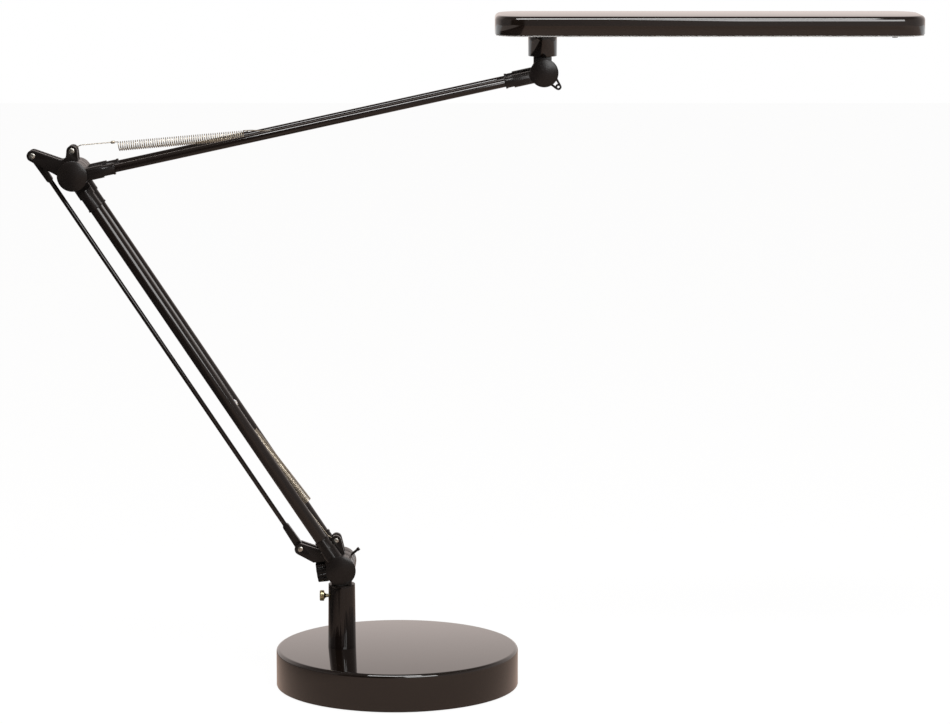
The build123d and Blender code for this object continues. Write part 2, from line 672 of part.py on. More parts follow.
# ---- Arms ------------------------------------------------------------------------------------
class Socket:
    """Sizes of one kind of moulded arm socket: its ring, its sleeve and its tube."""

    def __init__(self, ring_radius, clearance, ring_inner, ring_outer, tube_drop, tube_depth, tube_radius,
                 sleeve_radius, sleeve_end, lug_end, tube_inset, pocket):
        self.ring_radius = ring_radius
        self.clearance = clearance
        self.ring_inner = ring_inner
        self.ring_outer = ring_outer
        self.tube_drop = tube_drop
        self.tube_depth = tube_depth
        self.tube_radius = tube_radius
        self.sleeve_radius = sleeve_radius
        self.sleeve_end = sleeve_end
        self.lug_end = lug_end
        self.tube_inset = tube_inset
        self.pocket = pocket


LOWER_FOOT = Socket(JOINT_RADIUS, RING_CLEARANCE_RADIUS, LOWER_RING_INNER, LOWER_FOOT_RING_OUTER,
                    0, LOWER_TUBE_DEPTH, LOWER_TUBE_RADIUS, LOWER_SLEEVE_RADIUS, LOWER_FOOT_SLEEVE,
                    LOWER_LUG, LOWER_TUBE_INSET, LOWER_AXLE_POCKET)
LOWER_ELBOW = Socket(JOINT_RADIUS, ELBOW_CLEARANCE_RADIUS, LOWER_RING_INNER, LOWER_ELBOW_RING_OUTER,
                     0, LOWER_TUBE_DEPTH, LOWER_TUBE_RADIUS, LOWER_SLEEVE_RADIUS,
                     LOWER_ELBOW_SLEEVE, LOWER_LUG, LOWER_TUBE_INSET, None)
UPPER_ELBOW = Socket(JOINT_RADIUS, RING_CLEARANCE_RADIUS, UPPER_RING_INNER, UPPER_RING_OUTER,
                     UPPER_TUBE_DROP, UPPER_TUBE_DEPTH, UPPER_TUBE_RADIUS, UPPER_SLEEVE_RADIUS,
                     UPPER_ELBOW_SLEEVE, UPPER_LUG, UPPER_TUBE_INSET, UPPER_AXLE_POCKET)
UPPER_HEAD = Socket(HEAD_JOINT_RADIUS, RING_CLEARANCE_RADIUS, UPPER_RING_INNER, UPPER_RING_OUTER,
                    UPPER_TUBE_DROP, UPPER_TUBE_DEPTH, UPPER_TUBE_RADIUS, UPPER_SLEEVE_RADIUS,
                    UPPER_HEAD_SLEEVE, UPPER_LUG, UPPER_TUBE_INSET, UPPER_AXLE_POCKET)
UPPER_LINE = sunk(ELBOW_PIVOT, UPPER_TUBE_DROP)


def make_socket(kind, pivot, angle):
    """Moulded joint end at the front: a ring round the axle and a sleeve that holds a tube."""
    ring_width = kind.ring_outer - kind.ring_inner
    flat = 2 * kind.sleeve_radius - SLEEVE_FLAT
    line = sunk(pivot, kind.tube_drop)
    with BuildPart() as socket:
        with BuildSketch(outward(pivot, FRONT, kind.ring_inner)):
            Circle(kind.ring_radius)
        extrude(amount=ring_width)
        with BuildSketch(square_to(line, angle, 0, -kind.tube_depth)):
            Circle(kind.sleeve_radius)
        extrude(amount=kind.sleeve_end)
        with BuildSketch(square_to(line, angle, 0, -kind.tube_depth)):
            Circle(kind.sleeve_radius + LUG_STEP)
            Rectangle(flat, 2 * flat, mode=Mode.INTERSECT)
        extrude(amount=kind.lug_end)
        with BuildSketch(square_to(line, angle, kind.sleeve_end - LIP_LENGTH, -kind.tube_depth)):
            Circle(kind.sleeve_radius + LIP_STEP)
            Rectangle(flat, 2 * flat, mode=Mode.INTERSECT)
        extrude(amount=LIP_LENGTH)
        with BuildSketch(outward(pivot, FRONT, kind.ring_outer)):
            Circle(kind.clearance)
        extrude(amount=2 * kind.sleeve_radius, mode=Mode.SUBTRACT)
        with BuildSketch(square_to(line, angle, kind.tube_inset, -kind.tube_depth)):
            Circle(kind.tube_radius + PRESS_GAP)
        extrude(amount=kind.sleeve_end, mode=Mode.SUBTRACT)
        with BuildSketch(outward(pivot, FRONT, kind.ring_inner)):
            Circle(AXLE_RADIUS + RUNNING_GAP)
        extrude(amount=ring_width, mode=Mode.SUBTRACT)
        if kind.pocket:
            with BuildSketch(outward(pivot, FRONT, kind.pocket)):
                Circle(AXLE_POCKET_RADIUS)
            extrude(amount=kind.ring_outer - kind.pocket, mode=Mode.SUBTRACT)
    return socket.part


def at_the_rear(piece):
    """The same piece, mirrored to the lamp's rear."""
    return mirror(piece, about=Plane.XZ)


def drilled_for_stop(socket):
    """The lower arm's rear foot socket, drilled for the stop pin."""
    with BuildPart() as drilled:
        add(socket)
        with BuildSketch(square_to(BASE_PIVOT, STOP_PIN_ANGLE, STOP_PIN_INNER, STOP_PIN_DEPTH)):
            Circle(STOP_PIN_RADIUS + PRESS_GAP)
        extrude(amount=JOINT_RADIUS, mode=Mode.SUBTRACT)
    return drilled.part


def make_stop_pin():
    """Small pin that stands out of the rear ring of the base joint."""
    with BuildPart() as pin:
        with BuildSketch(square_to(BASE_PIVOT, STOP_PIN_ANGLE, STOP_PIN_INNER, STOP_PIN_DEPTH)):
            Circle(STOP_PIN_RADIUS)
        extrude(amount=STOP_PIN_OUTER - STOP_PIN_INNER)
        tip_start = STOP_PIN_OUTER - STOP_PIN_TIP
        with BuildSketch(square_to(BASE_PIVOT, STOP_PIN_ANGLE, tip_start, STOP_PIN_DEPTH)):
            Circle(STOP_PIN_TIP_RADIUS)
        extrude(amount=STOP_PIN_TIP)
    return pin.part


def make_arm_tube(kind, line, angle, length, wall, pin_radius):
    """Steel tube at the front of an arm, drilled through its inner wall for the cross pin."""
    middle = out_along(line, angle, SPRING_PIN_DISTANCE)
    with BuildPart() as tube:
        with BuildSketch(square_to(line, angle, kind.tube_inset, -kind.tube_depth)):
            Circle(kind.tube_radius)
            Circle(kind.tube_radius - wall, mode=Mode.SUBTRACT)
        extrude(amount=length - 2 * kind.tube_inset)
        with BuildSketch(outward(middle, REAR, -kind.tube_depth)):
            Circle(pin_radius + PRESS_GAP)
        extrude(amount=2 * kind.tube_radius, mode=Mode.SUBTRACT)
    return tube.part


def make_tube_sleeve():
    """Thin sleeve slipped over the rear tube of the upper arm, beside the spring."""
    with BuildPart() as sleeve:
        with BuildSketch(square_to(UPPER_LINE, UPPER_ANGLE, TUBE_SLEEVE_START, UPPER_TUBE_DEPTH)):
            Circle(UPPER_TUBE_RADIUS + TUBE_SLEEVE_WALL)
            Circle(UPPER_TUBE_RADIUS + PRESS_GAP, mode=Mode.SUBTRACT)
        extrude(amount=TUBE_SLEEVE_END - TUBE_SLEEVE_START)
    return sleeve.part


def make_cap(pivot, ring_outer, radius):
    """Domed cap at the front that plugs into a ring and hides the pivot bolt."""
    sphere = (radius**2 + CAP_DOME**2) / (2 * CAP_DOME)
    halfway = CAP_EDGE + CAP_DOME - (sphere - sqrt(sphere**2 - (radius / 2)**2))
    seat = -ring_outer - CAP_SEAT
    with BuildPart() as cap:
        with BuildSketch(Plane(origin=(pivot[0], seat, pivot[1]), x_dir=(1, 0, 0), z_dir=(0, 0, -1))):
            with BuildLine():
                Polyline((0, CAP_EDGE + CAP_DOME), (0, -CAP_PLUG_DEPTH), (CAP_PLUG_RADIUS, -CAP_PLUG_DEPTH),
                         (CAP_PLUG_RADIUS, 0), (radius, 0), (radius, CAP_EDGE))
                ThreePointArc((radius, CAP_EDGE), (radius / 2, halfway), (0, CAP_EDGE + CAP_DOME))
            make_face()
        revolve(axis=Axis((pivot[0], 0, pivot[1]), (0, 1, 0)))
    return cap.part


def make_cross_pin(line, angle, radius, tube_depth, tube_radius):
    """Pin between the two tubes of an arm that the balance spring pulls on."""
    middle = out_along(line, angle, SPRING_PIN_DISTANCE)
    with BuildPart() as pin:
        with BuildSketch(side_plane(middle)):
            Circle(radius)
        extrude(amount=tube_depth - tube_radius / 2, both=True)
    return pin.part


def make_spring_roller():
    """White nylon roller on the lower arm's cross pin, grooved for the spring's hook."""
    middle = out_along(BASE_PIVOT, LOWER_ANGLE, SPRING_PIN_DISTANCE)
    with BuildPart() as roller:
        with BuildSketch(side_plane(middle)):
            Circle(ROLLER_FLANGE_RADIUS)
            Circle(LOWER_PIN_RADIUS + RUNNING_GAP, mode=Mode.SUBTRACT)
        extrude(amount=ROLLER_HALF_WIDTH, both=True)
        with BuildSketch(side_plane(middle)):
            Circle(ROLLER_FLANGE_RADIUS + 1.0)
            Circle(ROLLER_RADIUS, mode=Mode.SUBTRACT)
        extrude(amount=ROLLER_HALF_WIDTH - ROLLER_FLANGE, both=True, mode=Mode.SUBTRACT)
    return roller.part


# ---- Link ------------------------------------------------------------------------------------
LINK_FOOT = ear_place(BASE_PIVOT, LINK_EAR)
LINK_TOP = ear_place(ELBOW_PIVOT, LINK_EAR)


def make_link_rod():
    """Steel rod of the parallel link."""
    with BuildPart() as rod:
        with BuildSketch(square_to(LINK_FOOT, LOWER_ANGLE, LINK_ROD_INSET, 0)):
            Circle(LINK_ROD_RADIUS)
        extrude(amount=LOWER_ARM_LENGTH - 2 * LINK_ROD_INSET)
    return rod.part


def make_link_end(pin, angle, shank, pin_gap):
    """Moulded eye on the link's end, narrowing to the rod."""
    with BuildPart() as end:
        with BuildSketch(side_plane(pin, angle)):
            joined_discs((0, 0), LINK_EYE_RADIUS, (shank, 0), LINK_SHANK_RADIUS)
        extrude(amount=LINK_EYE_HALF_WIDTH, both=True)
        with BuildSketch(side_plane(pin, angle)):
            Circle(EAR_PIN_RADIUS + pin_gap)
        extrude(amount=LINK_EYE_HALF_WIDTH, both=True, mode=Mode.SUBTRACT)
        with BuildSketch(square_to(pin, angle, LINK_ROD_INSET, 0)):
            Circle(LINK_ROD_RADIUS + PRESS_GAP)
        extrude(amount=shank, mode=Mode.SUBTRACT)
    return end.part


# ---- Springs ---------------------------------------------------------------------------------
def biarc(start, start_way, end, end_way):
    """Two arcs that leave start one way and reach end another way, without a kink."""
    chord = end - start
    both_ways = start_way + end_way
    spread = 4.0 - both_ways.dot(both_ways)
    pull = chord.dot(both_ways)
    span = chord.dot(chord)
    if spread > 1e-6:
        step = (sqrt(pull**2 + spread * span) - pull) / spread
    else:
        step = span / (2 * pull)
    first = start + start_way * step
    second = end - end_way * step
    middle = (first + second) * 0.5
    TangentArc(start, middle, tangent=start_way)
    TangentArc(middle, end, tangent=second - first)


class SpringFrame:
    """A spring's own axes: x along it from its first pin, y to its left, z to the front."""

    def __init__(self, first_pin, second_pin):
        rise = second_pin[1] - first_pin[1]
        run = second_pin[0] - first_pin[0]
        self.length = hypot(run, rise)
        self.angle = degrees(atan2(rise, run))
        self.plane = side_plane(first_pin, self.angle)

    def point(self, x, y, z=0.0):
        """A place on the spring, in the lamp's frame."""
        return self.plane.from_local_coords(Vector(x, y, z))

    def way(self, x, y, z=0.0):
        """A unit direction on the spring, in the lamp's frame."""
        return (self.point(x, y, z) - self.point(0, 0, 0)).normalized()

    def turn(self, start, pitch, quarter):
        """The place and direction on the coil after a number of quarter turns."""
        angle = quarter * pi / 2
        x = start + pitch * quarter / 4
        place = self.point(x, COIL_RADIUS * cos(angle), COIL_RADIUS * sin(angle))
        way = self.way(pitch / (2 * pi), -COIL_RADIUS * sin(angle), COIL_RADIUS * cos(angle))
        return place, way


def draw_hook(frame, hook_radius):
    """A half loop round the first pin and the bend up to the coil's side."""
    ahead = frame.way(1, 0)
    back = frame.way(-1, 0)
    Line(frame.point(HOOK_TAIL, -hook_radius), frame.point(0, -hook_radius))
    biarc(frame.point(0, -hook_radius), back, frame.point(0, hook_radius), ahead)
    biarc(frame.point(0, hook_radius), ahead, frame.point(HOOK_RISE, COIL_RADIUS), ahead)


def draw_coil(frame, coil_start, coil_end):
    """The turns, half a turn at a time, with a bend into and out of the end wires."""
    ahead = frame.way(1, 0)
    pitch = (coil_end - coil_start) / SPRING_TURNS
    first, first_way = frame.turn(coil_start, pitch, 1)
    biarc(frame.point(coil_start - COIL_LEAD, COIL_RADIUS), ahead, first, first_way)
    last_quarter = 4 * SPRING_TURNS - 1
    for quarter in range(1, last_quarter, 2):
        begin, begin_way = frame.turn(coil_start, pitch, quarter)
        finish, finish_way = frame.turn(coil_start, pitch, quarter + 2)
        biarc(begin, begin_way, finish, finish_way)
    last, last_way = frame.turn(coil_start, pitch, last_quarter)
    biarc(last, last_way, frame.point(coil_end + COIL_LEAD, COIL_RADIUS), ahead)


def draw_far_hook(frame, coil_end, hook_radius):
    """The end wire from the coil's side to the second pin and the half loop round it."""
    ahead = frame.way(1, 0)
    back = frame.way(-1, 0)
    leave = coil_end + COIL_LEAD
    biarc(frame.point(leave, COIL_RADIUS), ahead, frame.point(frame.length, hook_radius), ahead)
    biarc(frame.point(frame.length, hook_radius), ahead, frame.point(frame.length, -hook_radius), back)
    Line(frame.point(frame.length, -hook_radius), frame.point(frame.length - HOOK_TAIL, -hook_radius))


def least_gap(edges):
    """The least free space between two stretches of a spring's wire."""
    points = []
    travelled = []
    distance = 0.0
    for edge in edges:
        for sample in range(SPRING_SAMPLES):
            points.append(edge.position_at(sample / SPRING_SAMPLES))
            travelled.append(distance + edge.length * sample / SPRING_SAMPLES)
        distance += edge.length
    apart = 2 * pi * COIL_RADIUS / 4
    near = 4 * SPRING_SAMPLES * 3
    least = min(
        (points[i] - points[j]).length
        for i in range(len(points))
        for j in range(i + 1, min(i + near, len(points)))
        if travelled[j] - travelled[i] > apart
    )
    return least - 2 * WIRE_RADIUS


def wire_section(path):
    """The plane square to a wire's path at its start."""
    return Plane(origin=path.line @ 0, z_dir=path.line % 0)


LOWER_SPRING = SpringFrame(ear_place(BASE_PIVOT, BASE_SPRING_EAR),
                           out_along(BASE_PIVOT, LOWER_ANGLE, SPRING_PIN_DISTANCE))
UPPER_SPRING = SpringFrame(ear_place(ELBOW_PIVOT, ELBOW_SPRING_EAR),
                           out_along(UPPER_LINE, UPPER_ANGLE, SPRING_PIN_DISTANCE))


def along_spring(frame, arm_distance):
    """A distance along an arm, counted along its spring from the first pin."""
    return frame.length - (SPRING_PIN_DISTANCE - arm_distance)


def make_lower_spring():
    """Balance spring of the lower arm, from the base bracket's ear to the roller."""
    start = along_spring(LOWER_SPRING, LOWER_COIL_START)
    end = along_spring(LOWER_SPRING, LOWER_COIL_END)
    with BuildPart() as spring:
        with BuildLine() as path:
            draw_hook(LOWER_SPRING, EAR_PIN_RADIUS + WIRE_RADIUS + HOOK_GAP)
            Line(LOWER_SPRING.point(HOOK_RISE, COIL_RADIUS),
                 LOWER_SPRING.point(start - COIL_LEAD, COIL_RADIUS))
            draw_coil(LOWER_SPRING, start, end)
            draw_far_hook(LOWER_SPRING, end, ROLLER_RADIUS + WIRE_RADIUS + HOOK_GAP)
        with BuildSketch(wire_section(path)):
            Circle(WIRE_RADIUS)
        sweep(path=path.line)
    print("lower spring, least gap in mm:", round(least_gap(path.edges()), 3))
    return spring.part


def make_upper_spring():
    """Balance spring of the upper arm, from the draw wire's ferrule to the cross pin."""
    start = along_spring(UPPER_SPRING, UPPER_COIL_START)
    end = along_spring(UPPER_SPRING, UPPER_COIL_END)
    with BuildPart() as spring:
        with BuildLine() as path:
            Line(UPPER_SPRING.point(start - COIL_LEAD - 1.5, COIL_RADIUS),
                 UPPER_SPRING.point(start - COIL_LEAD, COIL_RADIUS))
            draw_coil(UPPER_SPRING, start, end)
            draw_far_hook(UPPER_SPRING, end, UPPER_PIN_RADIUS + WIRE_RADIUS + HOOK_GAP)
        with BuildSketch(wire_section(path)):
            Circle(WIRE_RADIUS)
        sweep(path=path.line)
    print("upper spring, least gap in mm:", round(least_gap(path.edges()), 3))
    return spring.part


def make_upper_spring_wire():
    """Thin draw wire from the elbow bracket's ear to the upper spring, with its ferrule."""
    start = along_spring(UPPER_SPRING, UPPER_COIL_START)
    ferrule_end = start - COIL_LEAD - 0.3
    ferrule_start = ferrule_end - FERRULE_LENGTH
    with BuildPart() as wire:
        with BuildLine() as path:
            draw_hook(UPPER_SPRING, EAR_PIN_RADIUS + WIRE_RADIUS + HOOK_GAP)
            Line(UPPER_SPRING.point(HOOK_RISE, COIL_RADIUS),
                 UPPER_SPRING.point(ferrule_start + 1.0, COIL_RADIUS))
        with BuildSketch(wire_section(path)):
            Circle(WIRE_RADIUS)
        sweep(path=path.line)
        ferrule = Plane(origin=UPPER_SPRING.point(ferrule_start, COIL_RADIUS), z_dir=UPPER_SPRING.way(1, 0))
        with BuildSketch(ferrule):
            Circle(FERRULE_RADIUS)
        extrude(amount=FERRULE_LENGTH)
        with BuildSketch(ferrule.offset(FERRULE_LENGTH)):
            Circle(WIRE_RADIUS + FREE_GAP)
        extrude(amount=-FERRULE_LENGTH / 2, mode=Mode.SUBTRACT)
    return wire.part


# ---- Head ------------------------------------------------------------------------------------
HEAD_LEFT_END = HEAD_PIVOT[0] - HEAD_LEFT
HEAD_MIDDLE_X = HEAD_LEFT_END + HEAD_LENGTH / 2
BUTTON_X = HEAD_LEFT_END + HEAD_LENGTH - BUTTON_INSET


def above_pivot(height, x, y=0.0):
    """A level plane, a height above the head pivot."""
    return level(HEAD_PIVOT[1] + height, x, y)


def make_head_bracket():
    """Hub of the head joint with the neck's spigot above and a small lug below."""
    with BuildPart() as bracket:
        with BuildSketch(side_plane(HEAD_PIVOT)):
            Circle(HEAD_JOINT_RADIUS)
        extrude(amount=HEAD_HUB_HALF_WIDTH, both=True)
        with BuildSketch(side_plane(HEAD_PIVOT)):
            with Locations(HEAD_LUG):
                Circle(HEAD_LUG_RADIUS)
        extrude(amount=HEAD_LUG_HALF_WIDTH, both=True)
        for root, end in HEAD_LEGS:
            with BuildSketch(side_plane(HEAD_PIVOT)):
                joined_discs(root, HEAD_LEG_RADIUS, end, HEAD_LEG_RADIUS)
            extrude(amount=HEAD_LUG_HALF_WIDTH, both=True)
        with BuildSketch(above_pivot(0, NECK_X)):
            Rectangle(NECK_WIDTH, NECK_WIDTH)
        extrude(amount=COLLAR_BOTTOM - FREE_GAP)
        with BuildSketch(above_pivot(0, NECK_X)):
            Circle(NECK_SPIGOT_RADIUS)
        extrude(amount=NECK_SPIGOT_TOP)
        with BuildSketch(side_plane(HEAD_PIVOT)):
            Circle(AXLE_RADIUS + PRESS_GAP)
            with Locations(HEAD_LUG):
                Circle(HEAD_LUG_HOLE)
        extrude(amount=HEAD_HUB_HALF_WIDTH, both=True, mode=Mode.SUBTRACT)
    return bracket.part


def make_swivel_collar():
    """Round collar under the head that turns on the neck's spigot."""
    with BuildPart() as collar:
        with BuildSketch(above_pivot(COLLAR_BOTTOM, NECK_X)):
            Circle(COLLAR_RADIUS)
        extrude(amount=COLLAR_FLANGE_TOP - COLLAR_BOTTOM)
        with BuildSketch(above_pivot(COLLAR_FLANGE_BOTTOM, NECK_X)):
            Circle(COLLAR_FLANGE_RADIUS)
        extrude(amount=COLLAR_FLANGE_TOP - COLLAR_FLANGE_BOTTOM)
        with BuildSketch(above_pivot(COLLAR_BOTTOM, NECK_X)):
            Circle(NECK_SPIGOT_RADIUS + RUNNING_GAP)
        extrude(amount=COLLAR_FLANGE_TOP - COLLAR_BOTTOM, mode=Mode.SUBTRACT)
        with BuildSketch(above_pivot(COLLAR_FLANGE_BOTTOM, NECK_X)):
            with PolarLocations(HEAD_BOSS_CIRCLE, HEAD_BOSS_COUNT, start_angle=45):
                Circle(SCREW_SHANK_RADIUS + PRESS_GAP)
        extrude(amount=COLLAR_FLANGE_TOP - COLLAR_FLANGE_BOTTOM, mode=Mode.SUBTRACT)
    return collar.part


def make_spigot_clip():
    """Clip that keeps the head on the neck's spigot."""
    with BuildPart() as clip:
        with BuildSketch(above_pivot(COLLAR_FLANGE_TOP + 0.15, NECK_X)):
            Circle(CLIP_RADIUS)
            Circle(NECK_SPIGOT_RADIUS + PRESS_GAP, mode=Mode.SUBTRACT)
        extrude(amount=CLIP_THICKNESS)
    return clip.part


def head_outline(inset):
    """The head's plan shape, drawn a distance inside its edge."""
    RectangleRounded(HEAD_LENGTH - 2 * inset, HEAD_DEPTH - 2 * inset, HEAD_CORNER_RADIUS - inset)


def make_head_shell():
    """Long flat cover of the head, open below, with bosses for the collar's screws."""
    with BuildPart() as shell:
        with BuildSketch(above_pivot(HEAD_BOTTOM, HEAD_MIDDLE_X)):
            head_outline(0)
        extrude(amount=HEAD_TOP - HEAD_BOTTOM)
        fillet(shell.faces().sort_by(Axis.Z)[-1].edges(), HEAD_EDGE_RADIUS)
        with BuildSketch(above_pivot(HEAD_BOTTOM, HEAD_MIDDLE_X)):
            head_outline(HEAD_WALL)
        extrude(amount=HEAD_TOP - HEAD_WALL - HEAD_BOTTOM, mode=Mode.SUBTRACT)
        with BuildSketch(above_pivot(COLLAR_FLANGE_TOP, NECK_X)):
            with PolarLocations(HEAD_BOSS_CIRCLE, HEAD_BOSS_COUNT, start_angle=45):
                Circle(HEAD_BOSS_RADIUS)
                Circle(SCREW_SHANK_RADIUS + PRESS_GAP, mode=Mode.SUBTRACT)
        extrude(amount=HEAD_TOP - HEAD_WALL - COLLAR_FLANGE_TOP)
    return shell.part


def make_head_screws():
    """Four screws through the collar's flange into the shell's bosses."""
    with BuildPart() as screws:
        with BuildSketch(above_pivot(COLLAR_FLANGE_BOTTOM - HEAD_SCREW_THICKNESS, NECK_X)):
            with PolarLocations(HEAD_BOSS_CIRCLE, HEAD_BOSS_COUNT, start_angle=45):
                Circle(HEAD_SCREW_RADIUS)
        extrude(amount=HEAD_SCREW_THICKNESS)
        with BuildSketch(above_pivot(COLLAR_FLANGE_BOTTOM, NECK_X)):
            with PolarLocations(HEAD_BOSS_CIRCLE, HEAD_BOSS_COUNT, start_angle=45):
                Circle(SCREW_SHANK_RADIUS)
        extrude(amount=HEAD_SCREW_LENGTH)
    return screws.part


def make_diffuser():
    """Opal sheet that closes the head below and stands a little proud of it."""
    with BuildPart() as diffuser:
        with BuildSketch(above_pivot(HEAD_BOTTOM - DIFFUSER_LIP, HEAD_MIDDLE_X)):
            head_outline(DIFFUSER_MARGIN)
        extrude(amount=DIFFUSER_LIP - PRESS_GAP)
        with BuildSketch(above_pivot(HEAD_BOTTOM - PRESS_GAP, HEAD_MIDDLE_X)):
            head_outline(HEAD_WALL + PRESS_GAP)
        extrude(amount=DIFFUSER_PLUG - DIFFUSER_LIP)
        with BuildSketch(above_pivot(HEAD_BOTTOM - DIFFUSER_LIP, NECK_X)):
            Circle(COLLAR_RADIUS + FREE_GAP)
        extrude(amount=2 * DIFFUSER_PLUG, mode=Mode.SUBTRACT)
        with BuildSketch(above_pivot(HEAD_BOTTOM - DIFFUSER_LIP, BUTTON_X, BUTTON_DEPTH)):
            Circle(BUTTON_RADIUS + FREE_GAP)
        extrude(amount=2 * DIFFUSER_PLUG, mode=Mode.SUBTRACT)
    return diffuser.part


def make_led_board():
    """Aluminium board with two rows of light-emitting diodes that face down."""
    middle = HEAD_LEFT_END + LED_BOARD_LEFT + LED_BOARD_LENGTH / 2
    with BuildPart() as board:
        with BuildSketch(above_pivot(LED_BOARD_HEIGHT, middle)):
            Rectangle(LED_BOARD_LENGTH, LED_BOARD_DEPTH)
        extrude(amount=BOARD_THICKNESS)
        with BuildSketch(above_pivot(LED_BOARD_HEIGHT, middle)):
            with GridLocations(LED_BOARD_LENGTH / LED_COLUMNS, LED_BOARD_DEPTH / LED_ROWS,
                               LED_COLUMNS, LED_ROWS):
                Rectangle(LED_SIZE, LED_SIZE)
        extrude(amount=-LED_THICKNESS)
    return board.part


def make_driver_board():
    """Driver board at the head's right end, with the switch over the button."""
    height = HEAD_BOTTOM + DIFFUSER_PLUG + BUTTON_FLANGE_THICKNESS + BUTTON_TRAVEL + SWITCH_GAP
    with BuildPart() as board:
        with BuildSketch(above_pivot(LED_BOARD_HEIGHT, BUTTON_X + DRIVER_SHIFT)):
            Rectangle(DRIVER_LENGTH, DRIVER_DEPTH)
        extrude(amount=BOARD_THICKNESS)
        with BuildSketch(above_pivot(height, BUTTON_X, BUTTON_DEPTH)):
            Rectangle(SWITCH_SIZE, SWITCH_SIZE)
        extrude(amount=LED_BOARD_HEIGHT + BOARD_THICKNESS - height)
        with BuildSketch(above_pivot(LED_BOARD_HEIGHT, BUTTON_X + CHIP_SHIFT[0], CHIP_SHIFT[1])):
            with GridLocations(CHIP_SPACING, CHIP_SPACING, 2, 2):
                Rectangle(CHIP_SIZE, CHIP_SIZE)
        extrude(amount=-CHIP_THICKNESS)
    return board.part


def make_power_button():
    """Push button under the head's right end."""
    bottom = HEAD_BOTTOM - DIFFUSER_LIP - BUTTON_PROUD
    flange = HEAD_BOTTOM + DIFFUSER_PLUG - DIFFUSER_LIP + PRESS_GAP
    with BuildPart() as button:
        with BuildSketch(above_pivot(bottom, BUTTON_X, BUTTON_DEPTH)):
            Circle(BUTTON_RADIUS)
        extrude(amount=flange - bottom)
        fillet(button.faces().sort_by(Axis.Z)[0].edges(), BUTTON_ROUNDING)
        with BuildSketch(above_pivot(flange, BUTTON_X, BUTTON_DEPTH)):
            Circle(BUTTON_FLANGE_RADIUS)
        extrude(amount=BUTTON_FLANGE_THICKNESS)
    return button.part


# ---- All pieces ------------------------------------------------------------------------------
def both_sides(name, front_piece):
    """A front piece and its mirrored twin, by their names."""
    return {name + "_front": front_piece, name + "_rear": at_the_rear(front_piece)}


def cap_pair(name, pivot, ring_outer, front_radius, rear_radius):
    """A joint's front cap and its smaller rear cap, by their names."""
    rear = at_the_rear(make_cap(pivot, ring_outer, rear_radius))
    return {name + "_front": make_cap(pivot, ring_outer, front_radius), name + "_rear": rear}


def arm_pieces():
    """The sockets, tubes, caps, pins, roller and sleeve of both arms."""
    back = 180.0
    pieces = {}
    pieces.update(both_sides("lower_foot_socket", make_socket(LOWER_FOOT, BASE_PIVOT, LOWER_ANGLE)))
    pieces["lower_foot_socket_rear"] = drilled_for_stop(pieces["lower_foot_socket_rear"])
    elbow_socket = make_socket(LOWER_ELBOW, ELBOW_PIVOT, LOWER_ANGLE + back)
    pieces.update(both_sides("lower_elbow_socket", elbow_socket))
    pieces.update(both_sides("upper_elbow_socket", make_socket(UPPER_ELBOW, ELBOW_PIVOT, UPPER_ANGLE)))
    pieces.update(both_sides("upper_head_socket", make_socket(UPPER_HEAD, HEAD_PIVOT, UPPER_ANGLE + back)))
    lower_tube = make_arm_tube(
        LOWER_FOOT, BASE_PIVOT, LOWER_ANGLE, LOWER_ARM_LENGTH, LOWER_TUBE_WALL, LOWER_PIN_RADIUS)
    pieces.update(both_sides("lower_tube", lower_tube))
    upper_tube = make_arm_tube(
        UPPER_ELBOW, UPPER_LINE, UPPER_ANGLE, UPPER_ARM_LENGTH, UPPER_TUBE_WALL, UPPER_PIN_RADIUS)
    pieces.update(both_sides("upper_tube", upper_tube))
    pieces.update(cap_pair("base_cap", BASE_PIVOT, LOWER_FOOT_RING_OUTER, CAP_RADIUS, REAR_CAP_RADIUS))
    pieces.update(cap_pair("elbow_cap", ELBOW_PIVOT, UPPER_RING_OUTER, CAP_RADIUS, REAR_CAP_RADIUS))
    pieces.update(
        cap_pair("head_cap", HEAD_PIVOT, UPPER_RING_OUTER, HEAD_CAP_RADIUS, REAR_HEAD_CAP_RADIUS))
    pieces["stop_pin"] = make_stop_pin()
    pieces["lower_spring_pin"] = make_cross_pin(
        BASE_PIVOT, LOWER_ANGLE, LOWER_PIN_RADIUS, LOWER_TUBE_DEPTH, LOWER_TUBE_RADIUS)
    pieces["upper_spring_pin"] = make_cross_pin(
        UPPER_LINE, UPPER_ANGLE, UPPER_PIN_RADIUS, UPPER_TUBE_DEPTH, UPPER_TUBE_RADIUS)
    pieces["lower_spring_roller"] = make_spring_roller()
    pieces["upper_tube_sleeve"] = make_tube_sleeve()
    return pieces


